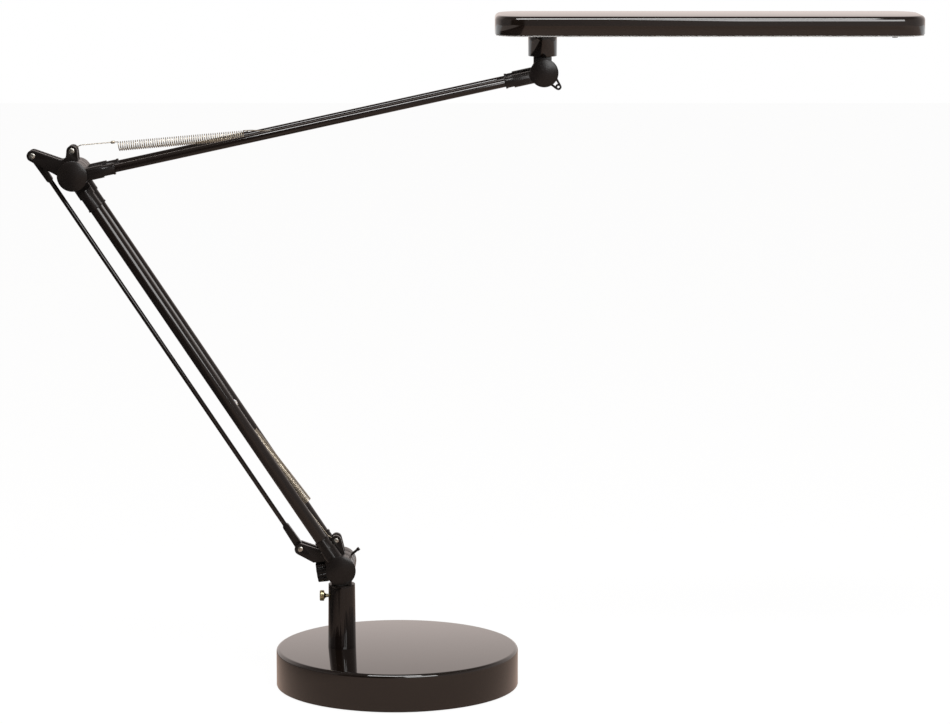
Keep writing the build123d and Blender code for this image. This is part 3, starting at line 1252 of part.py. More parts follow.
def all_pieces():
    """Every piece of the lamp by its name."""
    pieces = {
        "base_cover": make_base_cover(),
        "base_weight": make_base_weight(),
        "bottom_plate": make_bottom_plate(),
        "bottom_screws": make_bottom_screws(),
        "foot_pad": make_foot_pad(),
        "cable_gland": make_cable_gland(),
        "post_tube": make_post_tube(),
        "post_nut": make_post_nut(),
        "post_bush": make_post_bush(),
        "thumbscrew": make_thumbscrew(),
        "base_bracket": make_base_bracket(),
        "turret_spigot": make_turret_spigot(),
        "base_bracket_screws": make_bracket_screws(BASE_PIVOT, BASE_SPRING_EAR),
        "base_axle": make_axle(BASE_PIVOT, LOWER_AXLE_POCKET, 3.6),
        "base_washers": make_washers(BASE_PIVOT, BRACKET_HALF_WIDTH),
        "tension_knob": make_tension_knob(),
        "knob_stud": make_knob_stud(),
        "lower_spring": make_lower_spring(),
        "link_rod": make_link_rod(),
        "link_foot_end": make_link_end(LINK_FOOT, LOWER_ANGLE, LINK_FOOT_SHANK, RUNNING_GAP),
        "link_elbow_end": make_link_end(LINK_TOP, LOWER_ANGLE + 180.0, LINK_ELBOW_SHANK, FREE_GAP),
        "elbow_bracket": make_elbow_bracket(),
        "elbow_bracket_screws": make_bracket_screws(ELBOW_PIVOT, ELBOW_SPRING_EAR),
        "elbow_axle": make_axle(ELBOW_PIVOT, UPPER_AXLE_POCKET, 2.2),
        "elbow_washers": make_washers(ELBOW_PIVOT, BRACKET_HALF_WIDTH),
        "upper_spring": make_upper_spring(),
        "upper_spring_wire": make_upper_spring_wire(),
        "head_bracket": make_head_bracket(),
        "head_axle": make_axle(HEAD_PIVOT, UPPER_AXLE_POCKET, 2.2),
        "spigot_clip": make_spigot_clip(),
        "swivel_collar": make_swivel_collar(),
        "head_shell": make_head_shell(),
        "head_screws": make_head_screws(),
        "diffuser": make_diffuser(),
        "led_board": make_led_board(),
        "driver_board": make_driver_board(),
        "power_button": make_power_button(),
    }
    pieces.update(arm_pieces())
    return pieces


os.makedirs("parts", exist_ok=True)
for piece_name, piece in all_pieces().items():
    piece.label = piece_name
    export_step(piece, "parts/" + piece_name + ".step")
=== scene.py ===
"""Looks of a spring-balanced desk lamp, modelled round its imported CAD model."""

import json
from math import atan2, cos, hypot, pi, radians, sin

import bmesh
import bpy
from bpy.props import FloatProperty, FloatVectorProperty, IntProperty, PointerProperty
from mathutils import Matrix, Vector

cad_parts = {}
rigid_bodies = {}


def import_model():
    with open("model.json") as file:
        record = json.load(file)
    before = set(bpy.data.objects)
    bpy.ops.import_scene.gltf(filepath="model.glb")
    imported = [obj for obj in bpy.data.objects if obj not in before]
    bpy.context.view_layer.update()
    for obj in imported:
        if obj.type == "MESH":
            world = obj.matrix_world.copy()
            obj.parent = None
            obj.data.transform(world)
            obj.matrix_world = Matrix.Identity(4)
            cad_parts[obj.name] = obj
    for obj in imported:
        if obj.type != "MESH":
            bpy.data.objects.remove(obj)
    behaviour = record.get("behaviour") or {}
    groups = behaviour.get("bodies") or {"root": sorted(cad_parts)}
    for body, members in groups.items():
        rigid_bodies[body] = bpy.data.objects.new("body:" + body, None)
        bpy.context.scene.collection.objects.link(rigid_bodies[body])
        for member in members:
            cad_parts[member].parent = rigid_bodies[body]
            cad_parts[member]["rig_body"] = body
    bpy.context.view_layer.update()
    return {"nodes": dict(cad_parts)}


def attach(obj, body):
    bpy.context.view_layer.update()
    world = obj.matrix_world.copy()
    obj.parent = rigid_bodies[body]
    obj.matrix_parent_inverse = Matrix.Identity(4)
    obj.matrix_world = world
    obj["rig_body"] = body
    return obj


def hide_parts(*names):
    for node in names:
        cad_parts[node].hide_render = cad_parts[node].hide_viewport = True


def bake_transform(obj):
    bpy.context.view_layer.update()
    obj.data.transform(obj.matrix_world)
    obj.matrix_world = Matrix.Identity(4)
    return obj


bl_info = {
    "name": "Balanced Desk Lamp",
    "version": (1, 0, 0),
    "blender": (4, 5, 0),
    "location": "View3D > Sidebar > Desk Lamp",
    "description": "Dresses the packed model of a spring-balanced desk lamp",
    "category": "Object",
}

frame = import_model()

# ---- Measures shared with the CAD model, in metres and degrees ---------------------------------
MM = 0.001
BASE_RADIUS = 103 * MM
BASE_TOP = 32.6 * MM
BASE_BOTTOM = 1.0 * MM
POST_X = -47.1 * MM
BASE_PIVOT = (-47.1 * MM, 103.2 * MM)
LOWER_ANGLE = 123.45
UPPER_ANGLE = 12.36
LOWER_ARM = 401 * MM
UPPER_ARM = 401 * MM
UPPER_TUBE_DROP = 1.5 * MM
LINK_EAR = (-34.8 * MM, 15.4 * MM)
BASE_SPRING_EAR = (-4.4 * MM, 22.7 * MM)
ELBOW_SPRING_EAR = (-1.8 * MM, 19.6 * MM)
EAR_HALF_WIDTH = 7.5 * MM
SPRING_PIN_DISTANCE = 166 * MM
LOWER_COIL = (62 * MM, 138 * MM)     # along the arm, from its pivot
UPPER_COIL = (40 * MM, 145 * MM)
COIL_RADIUS = 3.75 * MM
ROLLER_RADIUS = 3.2 * MM
UPPER_PIN_RADIUS = 1.7 * MM
EAR_PIN_RADIUS = 1.5 * MM
THUMBSCREW_HEIGHT = 77 * MM
CAP_RADII = (12.7 * MM, 11.4 * MM)   # front and rear
HEAD_CAP_RADII = (11.8 * MM, 9.4 * MM)
LOWER_RING_OUTER = 22 * MM
UPPER_RING_OUTER = 23 * MM
HEAD_LEFT = -40.7 * MM               # from the head pivot
HEAD_LENGTH = 355.3 * MM
HEAD_DEPTH = 86 * MM
HEAD_BOTTOM = 32 * MM
HEAD_TOP = 47.6 * MM
HEAD_CORNER = 25 * MM
NECK_SHIFT = -1 * MM
COLLAR_BOTTOM = 12.5 * MM
COLLAR_RADIUS = 12 * MM
COLLAR_FLANGE = (34.6 * MM, 36.6 * MM)
COLLAR_FLANGE_RADIUS = 19 * MM


def out_along(pivot, angle, distance):
    """The (x, z) point a distance out along an angle from a pivot."""
    turn = radians(angle)
    return (pivot[0] + distance * cos(turn), pivot[1] + distance * sin(turn))


def beside(pivot, offset):
    """The (x, z) point at an offset from a pivot."""
    return (pivot[0] + offset[0], pivot[1] + offset[1])


ELBOW_PIVOT = out_along(BASE_PIVOT, LOWER_ANGLE, LOWER_ARM)
HEAD_PIVOT = out_along(ELBOW_PIVOT, UPPER_ANGLE, UPPER_ARM)
UPPER_LINE = beside(ELBOW_PIVOT, (0, -UPPER_TUBE_DROP))


# ---- Settings ----------------------------------------------------------------------------------
def length(name, description, default):
    """A length setting."""
    return FloatProperty(name=name, description=description, default=default, min=0.0,
                         subtype="DISTANCE", unit="LENGTH", precision=5)


def colour(name, description, default):
    """A colour setting."""
    return FloatVectorProperty(name=name, description=description, default=default, size=3,
                               min=0.0, max=1.0, subtype="COLOR")


class LampSizes(bpy.types.PropertyGroup):
    """Sizes that shape the lamp's visible pieces."""

    base_edge: length("Base edge", "Rounding of the base's upper edge", 3.0 * MM)
    shell_edge: length("Head edge", "Rounding of the head's upper edge", 4.0 * MM)
    moulding_edge: length("Moulding edge", "Rounding of the edges of moulded pieces", 0.45 * MM)
    metal_edge: length("Metal edge", "Rounding of the edges of turned pieces", 0.25 * MM)
    cap_dome: length("Cap dome", "How far a joint cap bulges", 2.0 * MM)
    wire_radius: length("Wire radius", "Half the thickness of the spring wire", 0.42 * MM)
    lower_turns: IntProperty(name="Lower turns", description="Turns of the lower spring",
                             default=69, min=4)
    upper_turns: IntProperty(name="Upper turns", description="Turns of the upper spring",
                             default=58, min=4)
    knurls: IntProperty(name="Knurls", description="Notches round the thumbscrew's head",
                        default=24, min=6)


class LampColours(bpy.types.PropertyGroup):
    """Colours of the lamp's finishes."""

    gloss: colour("Gloss black", "Base, head and collar", (0.006, 0.0038, 0.0028))
    satin: colour("Satin black", "Moulded joints", (0.006, 0.0045, 0.004))
    paint: colour("Painted steel", "Tubes, post and link rod", (0.006, 0.004, 0.0033))
    zinc: colour("Zinc", "Screws, pins and bolts", (0.62, 0.61, 0.56))
    spring: colour("Spring steel", "Balance springs", (0.44, 0.39, 0.31))
    brass: colour("Brass", "Thumbscrew", (0.66, 0.6, 0.38))
    nylon: colour("White nylon", "Roller, washers and bush", (0.8, 0.8, 0.77))
    rubber: colour("Rubber", "Foot pad and cable gland", (0.02, 0.02, 0.02))
    opal: colour("Opal sheet", "Light sheet under the head", (0.86, 0.86, 0.84))


# ---- Modelling helpers -------------------------------------------------------------------------
MERGE_DISTANCE = 1e-6
FLAT_ANGLE = 0.6


def clear_selection():
    """Leaves every object unselected, in object mode."""
    if bpy.context.object and bpy.context.object.mode != "OBJECT":
        bpy.ops.object.mode_set(mode="OBJECT")
    bpy.ops.object.select_all(action="DESELECT")


def pick(piece):
    """Makes a piece the only selected object and the active one."""
    clear_selection()
    piece.select_set(True)
    bpy.context.view_layer.objects.active = piece


class Editing:
    """Edit mode on one piece, with nothing selected at the start."""

    def __init__(self, piece):
        self.piece = piece

    def __enter__(self):
        pick(self.piece)
        bpy.ops.object.mode_set(mode="EDIT")
        bpy.ops.mesh.select_all(action="DESELECT")
        return self

    def __exit__(self, *problem):
        bpy.ops.object.mode_set(mode="OBJECT")

    def choose(self, kind, test):
        """Selects the piece's verts, edges or faces that pass a test."""
        modes = (kind == "verts", kind == "edges", kind == "faces")
        bpy.context.tool_settings.mesh_select_mode = modes
        bpy.ops.mesh.select_all(action="DESELECT")
        mesh = bmesh.from_edit_mesh(self.piece.data)
        for item in getattr(mesh, kind):
            if test(item):
                item.select_set(True)
        mesh.select_flush_mode()
        bmesh.update_edit_mesh(self.piece.data)


def middle(item):
    """The middle of an edge or a face."""
    places = [vertex.co for vertex in item.verts]
    return sum(places, Vector()) / len(places)


def at_level(z):
    """A test for items that lie flat at a height."""
    return lambda item: all(abs(vertex.co.z - z) < 1e-6 for vertex in item.verts)


def just_added(name):
    """Names the object that an operator has just added."""
    piece = bpy.context.object
    piece.name = name
    piece.data.name = name
    return piece


def apply_place(piece):
    """Moves a piece's place, turn and scale into its mesh."""
    pick(piece)
    bpy.ops.object.transform_apply(location=True, rotation=True, scale=True)


def with_bevel(piece, width, segments=3, angle=35):
    """Rounds a piece's sharp edges with a bevel modifier and applies it."""
    pick(piece)
    bevel = piece.modifiers.new("Soft edges", "BEVEL")
    bevel.width = width
    bevel.segments = segments
    bevel.limit_method = "ANGLE"
    bevel.angle_limit = radians(angle)
    bevel.use_clamp_overlap = True
    bpy.ops.object.modifier_apply(modifier=bevel.name)


def finish_piece(piece, body, material, nodes=(), smooth=38):
    """Smooths a piece, gives it its finish, ties it to its body if it rides on one, and hides its
    CAD nodes.
    """
    apply_place(piece)
    bpy.ops.object.shade_smooth_by_angle(angle=radians(smooth))
    piece.data.materials.clear()
    piece.data.materials.append(material)
    if body:
        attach(piece, body)
    if nodes:
        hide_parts(*nodes)
    return piece


def body_of(node):
    """The body that a CAD node moves with."""
    return frame["nodes"][node]["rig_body"]


def softened(node, name, width, material, segments=3):
    """A visible copy of a CAD node with merged points and rounded edges."""
    piece = bpy.data.objects.new(name, frame["nodes"][node].data.copy())
    bpy.context.scene.collection.objects.link(piece)
    with Editing(piece):
        bpy.ops.mesh.select_all(action="SELECT")
        bpy.ops.mesh.customdata_custom_splitnormals_clear()
        bpy.ops.mesh.remove_doubles(threshold=MERGE_DISTANCE)
        bpy.ops.mesh.dissolve_limited(angle_limit=radians(FLAT_ANGLE))
    with_bevel(piece, width, segments)
    return finish_piece(piece, body_of(node), material, (node,))


def copy_at(piece, name, shift):
    """A copy of a piece with its own mesh, moved by a shift."""
    twin = bpy.data.objects.new(name, piece.data.copy())
    bpy.context.scene.collection.objects.link(twin)
    twin.location = shift
    return twin


def joined(pieces, name):
    """Several objects as one."""
    clear_selection()
    for piece in pieces:
        piece.select_set(True)
    bpy.context.view_layer.objects.active = pieces[0]
    bpy.ops.object.join()
    return just_added(name)


# ---- Finishes ----------------------------------------------------------------------------------
GRAIN_DEPTH = 0.05 * MM


def group_socket(group, name, kind, way, default=None):
    """A named socket of a node group."""
    socket = group.interface.new_socket(name=name, in_out=way, socket_type=kind)
    if default is not None:
        socket.default_value = default
    return socket


def noise(group, scale, detail, vector):
    """A noise texture on a vector, with its scale linked."""
    texture = group.nodes.new("ShaderNodeTexNoise")
    texture.inputs["Detail"].default_value = detail
    group.links.new(vector, texture.inputs["Vector"])
    group.links.new(scale, texture.inputs["Scale"])
    return texture.outputs["Fac"]


def mapped(group, value, low, high):
    """A 0 to 1 value spread over another range."""
    node = group.nodes.new("ShaderNodeMapRange")
    group.links.new(value, node.inputs["Value"])
    for name, limit in (("To Min", low), ("To Max", high)):
        if isinstance(limit, (int, float)):
            node.inputs[name].default_value = limit
        else:
            group.links.new(limit, node.inputs[name])
    return node.outputs["Result"]


def surface_group():
    """Node group: patchy colour, uneven sheen and a fine grain over a surface."""
    group = bpy.data.node_groups.get("Uneven surface")
    if group:
        return group
    group = bpy.data.node_groups.new("Uneven surface", "ShaderNodeTree")
    for name, kind, default in (
        ("Vector", "NodeSocketVector", None),
        ("Color", "NodeSocketColor", (0.5, 0.5, 0.5, 1.0)),
        ("Tint", "NodeSocketColor", (0.5, 0.5, 0.5, 1.0)),
        ("Patch Scale", "NodeSocketFloat", 30.0),
        ("Grain Scale", "NodeSocketFloat", 2000.0),
        ("Smooth", "NodeSocketFloat", 0.2),
        ("Rough", "NodeSocketFloat", 0.4),
    ):
        group_socket(group, name, kind, "INPUT", default)
    group_socket(group, "Color", "NodeSocketColor", "OUTPUT")
    group_socket(group, "Roughness", "NodeSocketFloat", "OUTPUT")
    group_socket(group, "Height", "NodeSocketFloat", "OUTPUT")
    start = group.nodes.new("NodeGroupInput")
    end = group.nodes.new("NodeGroupOutput")
    vector = start.outputs["Vector"]
    patches = noise(group, start.outputs["Patch Scale"], 4.0, vector)
    grain = noise(group, start.outputs["Grain Scale"], 2.0, vector)
    blend = group.nodes.new("ShaderNodeMix")
    blend.data_type = "RGBA"
    spread = group.nodes.new("ShaderNodeMapRange")
    spread.inputs["From Min"].default_value = 0.35
    spread.inputs["From Max"].default_value = 0.65
    group.links.new(patches, spread.inputs["Value"])
    group.links.new(spread.outputs["Result"], blend.inputs["Factor"])
    group.links.new(start.outputs["Color"], blend.inputs[6])
    group.links.new(start.outputs["Tint"], blend.inputs[7])
    sheen = group.nodes.new("ShaderNodeMath")
    sheen.operation = "MULTIPLY"
    group.links.new(patches, sheen.inputs[0])
    group.links.new(mapped(group, grain, 0.7, 1.3), sheen.inputs[1])
    group.links.new(blend.outputs[2], end.inputs["Color"])
    roughness = mapped(group, sheen.outputs[0], start.outputs["Smooth"], start.outputs["Rough"])
    group.links.new(roughness, end.inputs["Roughness"])
    group.links.new(grain, end.inputs["Height"])
    return group


def finish(name, colours, tint, patch, grain, sheen, bump, stretch=None, turn=0.0, **shader_values):
    """A material made of the uneven surface, with its own colour, sheen and grain."""
    material = bpy.data.materials.get(name)
    if material:
        return material
    material = bpy.data.materials.new(name)
    material.use_nodes = True
    tree = material.node_tree
    shader = tree.nodes["Principled BSDF"]
    place = tree.nodes.new("ShaderNodeTexCoord")
    mapping = tree.nodes.new("ShaderNodeMapping")
    mapping.inputs["Rotation"].default_value = (0.0, radians(turn), 0.0)
    mapping.inputs["Scale"].default_value = stretch or (1.0, 1.0, 1.0)
    tree.links.new(place.outputs["Object"], mapping.inputs["Vector"])
    surface = tree.nodes.new("ShaderNodeGroup")
    surface.node_tree = surface_group()
    tree.links.new(mapping.outputs["Vector"], surface.inputs["Vector"])
    surface.inputs["Color"].default_value = (*colours, 1.0)
    surface.inputs["Tint"].default_value = (*[c * tint for c in colours], 1.0)
    surface.inputs["Patch Scale"].default_value = patch
    surface.inputs["Grain Scale"].default_value = grain
    surface.inputs["Smooth"].default_value = sheen[0]
    surface.inputs["Rough"].default_value = sheen[1]
    raised = tree.nodes.new("ShaderNodeBump")
    raised.inputs["Strength"].default_value = bump
    raised.inputs["Distance"].default_value = GRAIN_DEPTH
    tree.links.new(surface.outputs["Color"], shader.inputs["Base Color"])
    tree.links.new(surface.outputs["Roughness"], shader.inputs["Roughness"])
    tree.links.new(surface.outputs["Height"], raised.inputs["Height"])
    tree.links.new(raised.outputs["Normal"], shader.inputs["Normal"])
    for socket, value in shader_values.items():
        shader.inputs[socket.replace("_", " ")].default_value = value
    return material


def gloss_black():
    """Polished black plastic of the base, head and collar."""
    return finish("Gloss black plastic", settings().gloss, 1.2, 14.0, 900.0, (0.03, 0.05), 0.004,
                  Coat_Weight=0.6, Coat_Roughness=0.02)


def satin_black():
    """Fine-grained black plastic of the moulded joints."""
    return finish("Satin black plastic", settings().satin, 1.25, 30.0, 1500.0, (0.24, 0.3), 0.03,
                  Specular_IOR_Level=0.34)


def painted(angle):
    """Smooth black paint on a tube, with faint draw lines along it."""
    return finish("Black paint {:.0f}".format(angle), settings().paint, 1.2, 40.0, 1200.0,
                  (0.07, 0.09), 0.002, (0.04, 1.0, 1.0), angle, Specular_IOR_Level=0.55)


def zinc():
    """Zinc plate of the screws, pins and bolts."""
    return finish("Zinc plate", settings().zinc, 0.72, 300.0, 3500.0, (0.2, 0.42), 0.2,
                  Metallic=1.0)


def spring_steel():
    """Bright drawn wire of the springs."""
    return finish("Spring wire", settings().spring, 0.85, 120.0, 2500.0, (0.3, 0.42), 0.05,
                  Metallic=0.85)


def brass():
    """Slightly dulled brass of the thumbscrew."""
    return finish("Dull brass", settings().brass, 0.65, 350.0, 3000.0, (0.2, 0.42), 0.2,
                  Metallic=1.0)


def nylon():
    """White nylon of the roller and washers."""
    return finish("White nylon", settings().nylon, 0.95, 80.0, 2200.0, (0.35, 0.5), 0.1,
                  Subsurface_Weight=0.1, Subsurface_Scale=0.002)


def rubber():
    """Dull black rubber of the pad and the gland."""
    return finish("Black rubber", settings().rubber, 1.6, 90.0, 1800.0, (0.6, 0.8), 0.35)


def opal():
    """Translucent white sheet below the light boards."""
    return finish("Opal sheet", settings().opal, 0.97, 40.0, 1200.0, (0.2, 0.3), 0.02,
                  Transmission_Weight=0.55, IOR=1.49)


def iron():
    """Rough cast iron of the weight."""
    return finish("Cast iron", (0.12, 0.115, 0.11), 1.4, 60.0, 700.0, (0.55, 0.75), 0.6,
                  Metallic=0.7)


def circuit_board():
    """Green lacquer of the driver board."""
    return finish("Board lacquer", (0.02, 0.13, 0.05), 0.8, 200.0, 2500.0, (0.25, 0.4), 0.15)


def light_board():
    """White coating of the light board."""
    return finish("White board coating", (0.8, 0.8, 0.79), 0.95, 120.0, 2500.0, (0.4, 0.5), 0.1)


def settings():
    """The colour settings of the scene."""
    return bpy.context.scene.lamp_colours


def sizes():
    """The size settings of the scene."""
    return bpy.context.scene.lamp_sizes


# ---- Stage -------------------------------------------------------------------------------------
CAMERA_PLACE = (66.35 * MM, -3000 * MM, 745.4 * MM)
CAMERA_PITCH = 8.85
CAMERA_LENS = 136.42
CAMERA_SENSOR = 36.0
CAMERA_REACH = 50.0
FLOOR_SIZE = 12.0
FLOOR_DROP = 0.3 * MM
FLOOR_PAINT = (0.85, 0.85, 0.85, 1.0)
FLOOR_WHITE = (1.03, 1.03, 1.03, 1.0)
FLOOR_GLOW = 0.93                     # share of the floor that glows, which shows as plain white
FLOOR_FADE = (0.5, 1.5, 0.0, 1.0)     # where reflections turn from the ramp's colour to white
FLOOR_SIDE = 4.0                      # how far the ramp reaches to either side
FLOOR_AHEAD = (                       # place to the right, and colour in reflections
    (-4.0, (0.6, 0.5, 0.45)), (-2.4, (0.6, 0.5, 0.45)), (-2.3, (0.01, 0.008, 0.007)),
    (-0.42, (0.01, 0.008, 0.007)), (-0.14, (0.42, 0.3, 0.24)), (4.0, (0.6, 0.48, 0.42)),
)
ROOM_TOP = (0.35, 0.8, 0.0, 1.0)      # where the surroundings turn into the ceiling
CEILING = (0.16, 0.14, 0.13, 1.0)
ROOM_TINT = (1.0, 0.88, 0.83)
ROOM = (                              # bearing from the front, and brightness at eye level
    (-180, 0.8), (-120, 0.75), (-100, 0.3), (-60, 0.3), (-54, 0.03), (-8, 0.03), (4, 0.4),
    (70, 0.4), (110, 0.55), (140, 0.75), (180, 0.8),
)
LIGHTS = (                            # name, place, target, sides and power
    ("strip light", (-0.05, -0.85, 2.0), (-0.05, 0.0, 0.45), (1.35, 0.45), 30.0),
    ("front light", (0.95, -2.0, 1.5), (0.0, 0.0, 0.3), (1.3, 1.2), 30.0),
)


def add_camera():
    """A camera at the photograph's angle and distance."""
    clear_selection()
    bpy.ops.object.camera_add(location=CAMERA_PLACE, rotation=(radians(90 - CAMERA_PITCH), 0, 0))
    camera = bpy.context.object
    camera.data.lens = CAMERA_LENS
    camera.data.sensor_width = CAMERA_SENSOR
    camera.data.clip_end = CAMERA_REACH
    bpy.context.scene.camera = camera


def add_node(tree, kind, *values, **settings_of_node):
    """A node whose inputs, in order, take the given links or plain values."""
    node = tree.nodes.new("ShaderNode" + kind)
    for name, value in settings_of_node.items():
        setattr(node, name, value)
    for socket, value in zip(node.inputs, values):
        if isinstance(value, bpy.types.NodeSocket):
            tree.links.new(value, socket)
        elif value is not None:
            socket.default_value = value
    return node


def fill_ramp(ramp, stops):
    """Gives a colour ramp its stops, from 0 to 1."""
    elements = ramp.color_ramp.elements
    for share, colours in stops:
        if share in (0.0, 1.0):
            element = elements[0 if share == 0.0 else -1]
        else:
            element = elements.new(share)
        element.color = (*colours, 1.0)


def add_floor():
    """A pale floor that turns white in the camera, keeps a faint shadow and reflects brown."""
    clear_selection()
    bpy.ops.mesh.primitive_plane_add(size=FLOOR_SIZE, location=(0, 0, -FLOOR_DROP))
    floor = just_added("floor")
    material = bpy.data.materials.new("White floor")
    material.use_nodes = True
    tree = material.node_tree
    tree.nodes.clear()
    path = add_node(tree, "LightPath")
    seen = add_node(tree, "Math", path.outputs["Is Camera Ray"], path.outputs["Is Glossy Ray"],
                    operation="MAXIMUM")
    share = add_node(tree, "Math", seen.outputs[0], FLOOR_GLOW, operation="MULTIPLY")
    place = add_node(tree, "NewGeometry")
    split = add_node(tree, "SeparateXYZ", place.outputs["Position"])
    aside = add_node(tree, "MapRange", split.outputs["X"], -FLOOR_SIDE, FLOOR_SIDE)
    ramp = add_node(tree, "ValToRGB", aside.outputs["Result"])
    fill_ramp(ramp, [(0.5 + x / FLOOR_SIDE / 2, colours) for x, colours in FLOOR_AHEAD])
    behind = add_node(tree, "MapRange", split.outputs["Y"], *FLOOR_FADE,
                      interpolation_type="SMOOTHSTEP")
    share_of_white = add_node(tree, "Math", path.outputs["Is Camera Ray"], behind.outputs["Result"],
                              operation="MAXIMUM")
    colours = add_node(tree, "Mix", share_of_white.outputs[0], data_type="RGBA")
    tree.links.new(ramp.outputs["Color"], colours.inputs[6])
    colours.inputs[7].default_value = FLOOR_WHITE
    paint = add_node(tree, "BsdfDiffuse", FLOOR_PAINT)
    glow = add_node(tree, "Emission", colours.outputs[2], 1.0)
    mix = add_node(tree, "MixShader", share.outputs[0], paint.outputs[0], glow.outputs[0])
    add_node(tree, "OutputMaterial", mix.outputs[0])
    floor.data.materials.append(material)


def add_world():
    """White to the camera. Reflections show a pale wall behind, a dim ceiling and a dark front."""
    world = bpy.data.worlds.new("Studio")
    bpy.context.scene.world = world
    world.use_nodes = True
    tree = world.node_tree
    tree.nodes.clear()
    place = add_node(tree, "TexCoord")
    split = add_node(tree, "SeparateXYZ", place.outputs["Generated"])
    ahead = add_node(tree, "Math", split.outputs["Y"], -1.0, operation="MULTIPLY")
    bearing = add_node(tree, "Math", split.outputs["X"], ahead.outputs[0], operation="ARCTAN2")
    round_the_room = add_node(tree, "MapRange", bearing.outputs[0], -pi, pi)
    ramp = add_node(tree, "ValToRGB", round_the_room.outputs["Result"])
    fill_ramp(ramp, [((degrees + 180) / 360, [shade * share for share in ROOM_TINT])
                     for degrees, shade in ROOM])
    height = add_node(tree, "MapRange", split.outputs["Z"], *ROOM_TOP,
                      interpolation_type="SMOOTHSTEP")
    colours = add_node(tree, "Mix", height.outputs["Result"], data_type="RGBA")
    tree.links.new(ramp.outputs["Color"], colours.inputs[6])
    colours.inputs[7].default_value = CEILING
    path = add_node(tree, "LightPath")
    seen = add_node(tree, "Math", path.outputs["Is Camera Ray"],
                    path.outputs["Is Transmission Ray"], operation="MAXIMUM")
    room = add_node(tree, "Background", colours.outputs[2], 1.0)
    white = add_node(tree, "Background", (1.0, 1.0, 1.0, 1.0), 1.0)
    mix = add_node(tree, "MixShader", seen.outputs[0], room.outputs[0], white.outputs[0])
    add_node(tree, "OutputWorld", mix.outputs[0])


def add_light(name, place, target, size, power):
    """A rectangular soft light that faces a target, with its first side level."""
    clear_selection()
    bpy.ops.object.light_add(type="AREA", location=place)
    light = bpy.context.object
    light.name = name
    light.data.shape = "RECTANGLE"
    light.data.size, light.data.size_y = size
    light.data.energy = power
    facing = Vector(target) - Vector(place)
    light.rotation_euler = facing.to_track_quat("-Z", "Y").to_euler()


class LAMP_OT_stage(bpy.types.Operator):
    """Add the camera, the floor, the surroundings and the lights"""

    bl_idname = "lamp.stage"
    bl_label = "Stage"

    def execute(self, context):
        context.scene.view_settings.view_transform = "Standard"
        add_camera()
        add_floor()
        add_world()
        for light in LIGHTS:
            add_light(*light)
        return {"FINISHED"}


# ---- Base and post -----------------------------------------------------------------------------
BASE_SIDES = 192
BASE_FOOT_EDGE = 0.4 * MM
COVER_RIM = 2.5 * MM
COVER_ROOM = 3.5 * MM


class LAMP_OT_base(bpy.types.Operator):
    """Model the glossy round base, its rubber pad and the cable gland"""

    bl_idname = "lamp.base"
    bl_label = "Base"

    def execute(self, context):
        clear_selection()
        bpy.ops.mesh.primitive_cylinder_add(
            vertices=BASE_SIDES, radius=BASE_RADIUS, depth=BASE_TOP - BASE_BOTTOM,
            location=(0, 0, (BASE_TOP + BASE_BOTTOM) / 2))
        cover = just_added("base_shell")
        apply_place(cover)
        with Editing(cover) as edit:
            edit.choose("edges", at_level(BASE_TOP))
            bpy.ops.mesh.bevel(offset=sizes().base_edge, segments=7, affect="EDGES")
            edit.choose("edges", at_level(BASE_BOTTOM))
            bpy.ops.mesh.bevel(offset=BASE_FOOT_EDGE, segments=2, affect="EDGES")
            edit.choose("faces", lambda face: face.normal.z < -0.99 and len(face.verts) > 8)
            bpy.ops.mesh.inset(thickness=COVER_RIM)
            bpy.ops.mesh.extrude_region_move(TRANSFORM_OT_translate={"value": (0, 0, COVER_ROOM)})
        finish_piece(cover, "base", gloss_black(), ("base_cover",), 50)
        softened("foot_pad", "rubber_pad", 0.5 * MM, rubber())
        softened("cable_gland", "lead_gland", 0.3 * MM, rubber())
        return {"FINISHED"}


THUMBSCREW_SHANK = 1.45 * MM
THUMBSCREW_START = 6.1 * MM           # this and the cone are distances from the post's axis
THUMBSCREW_CONE = (12.4 * MM, 15.0 * MM)
THUMBSCREW_STEPS = (                  # rise in mm and growth of each ring, from the cone on
    (0.9, 1.12), (0.8, 1.3), (0.6, 1.4), (0.3, 1.25), (0.2, 1.23), (2.9, 1.0), (0.3, 0.97),
    (0.3, 0.92),
)
THUMBSCREW_DISH = (1.4 * MM, 0.35 * MM)
KNURL_EDGE = 0.12 * MM
KNURL_DEPTH = 0.93                    # radius of a notch as a share of the head's


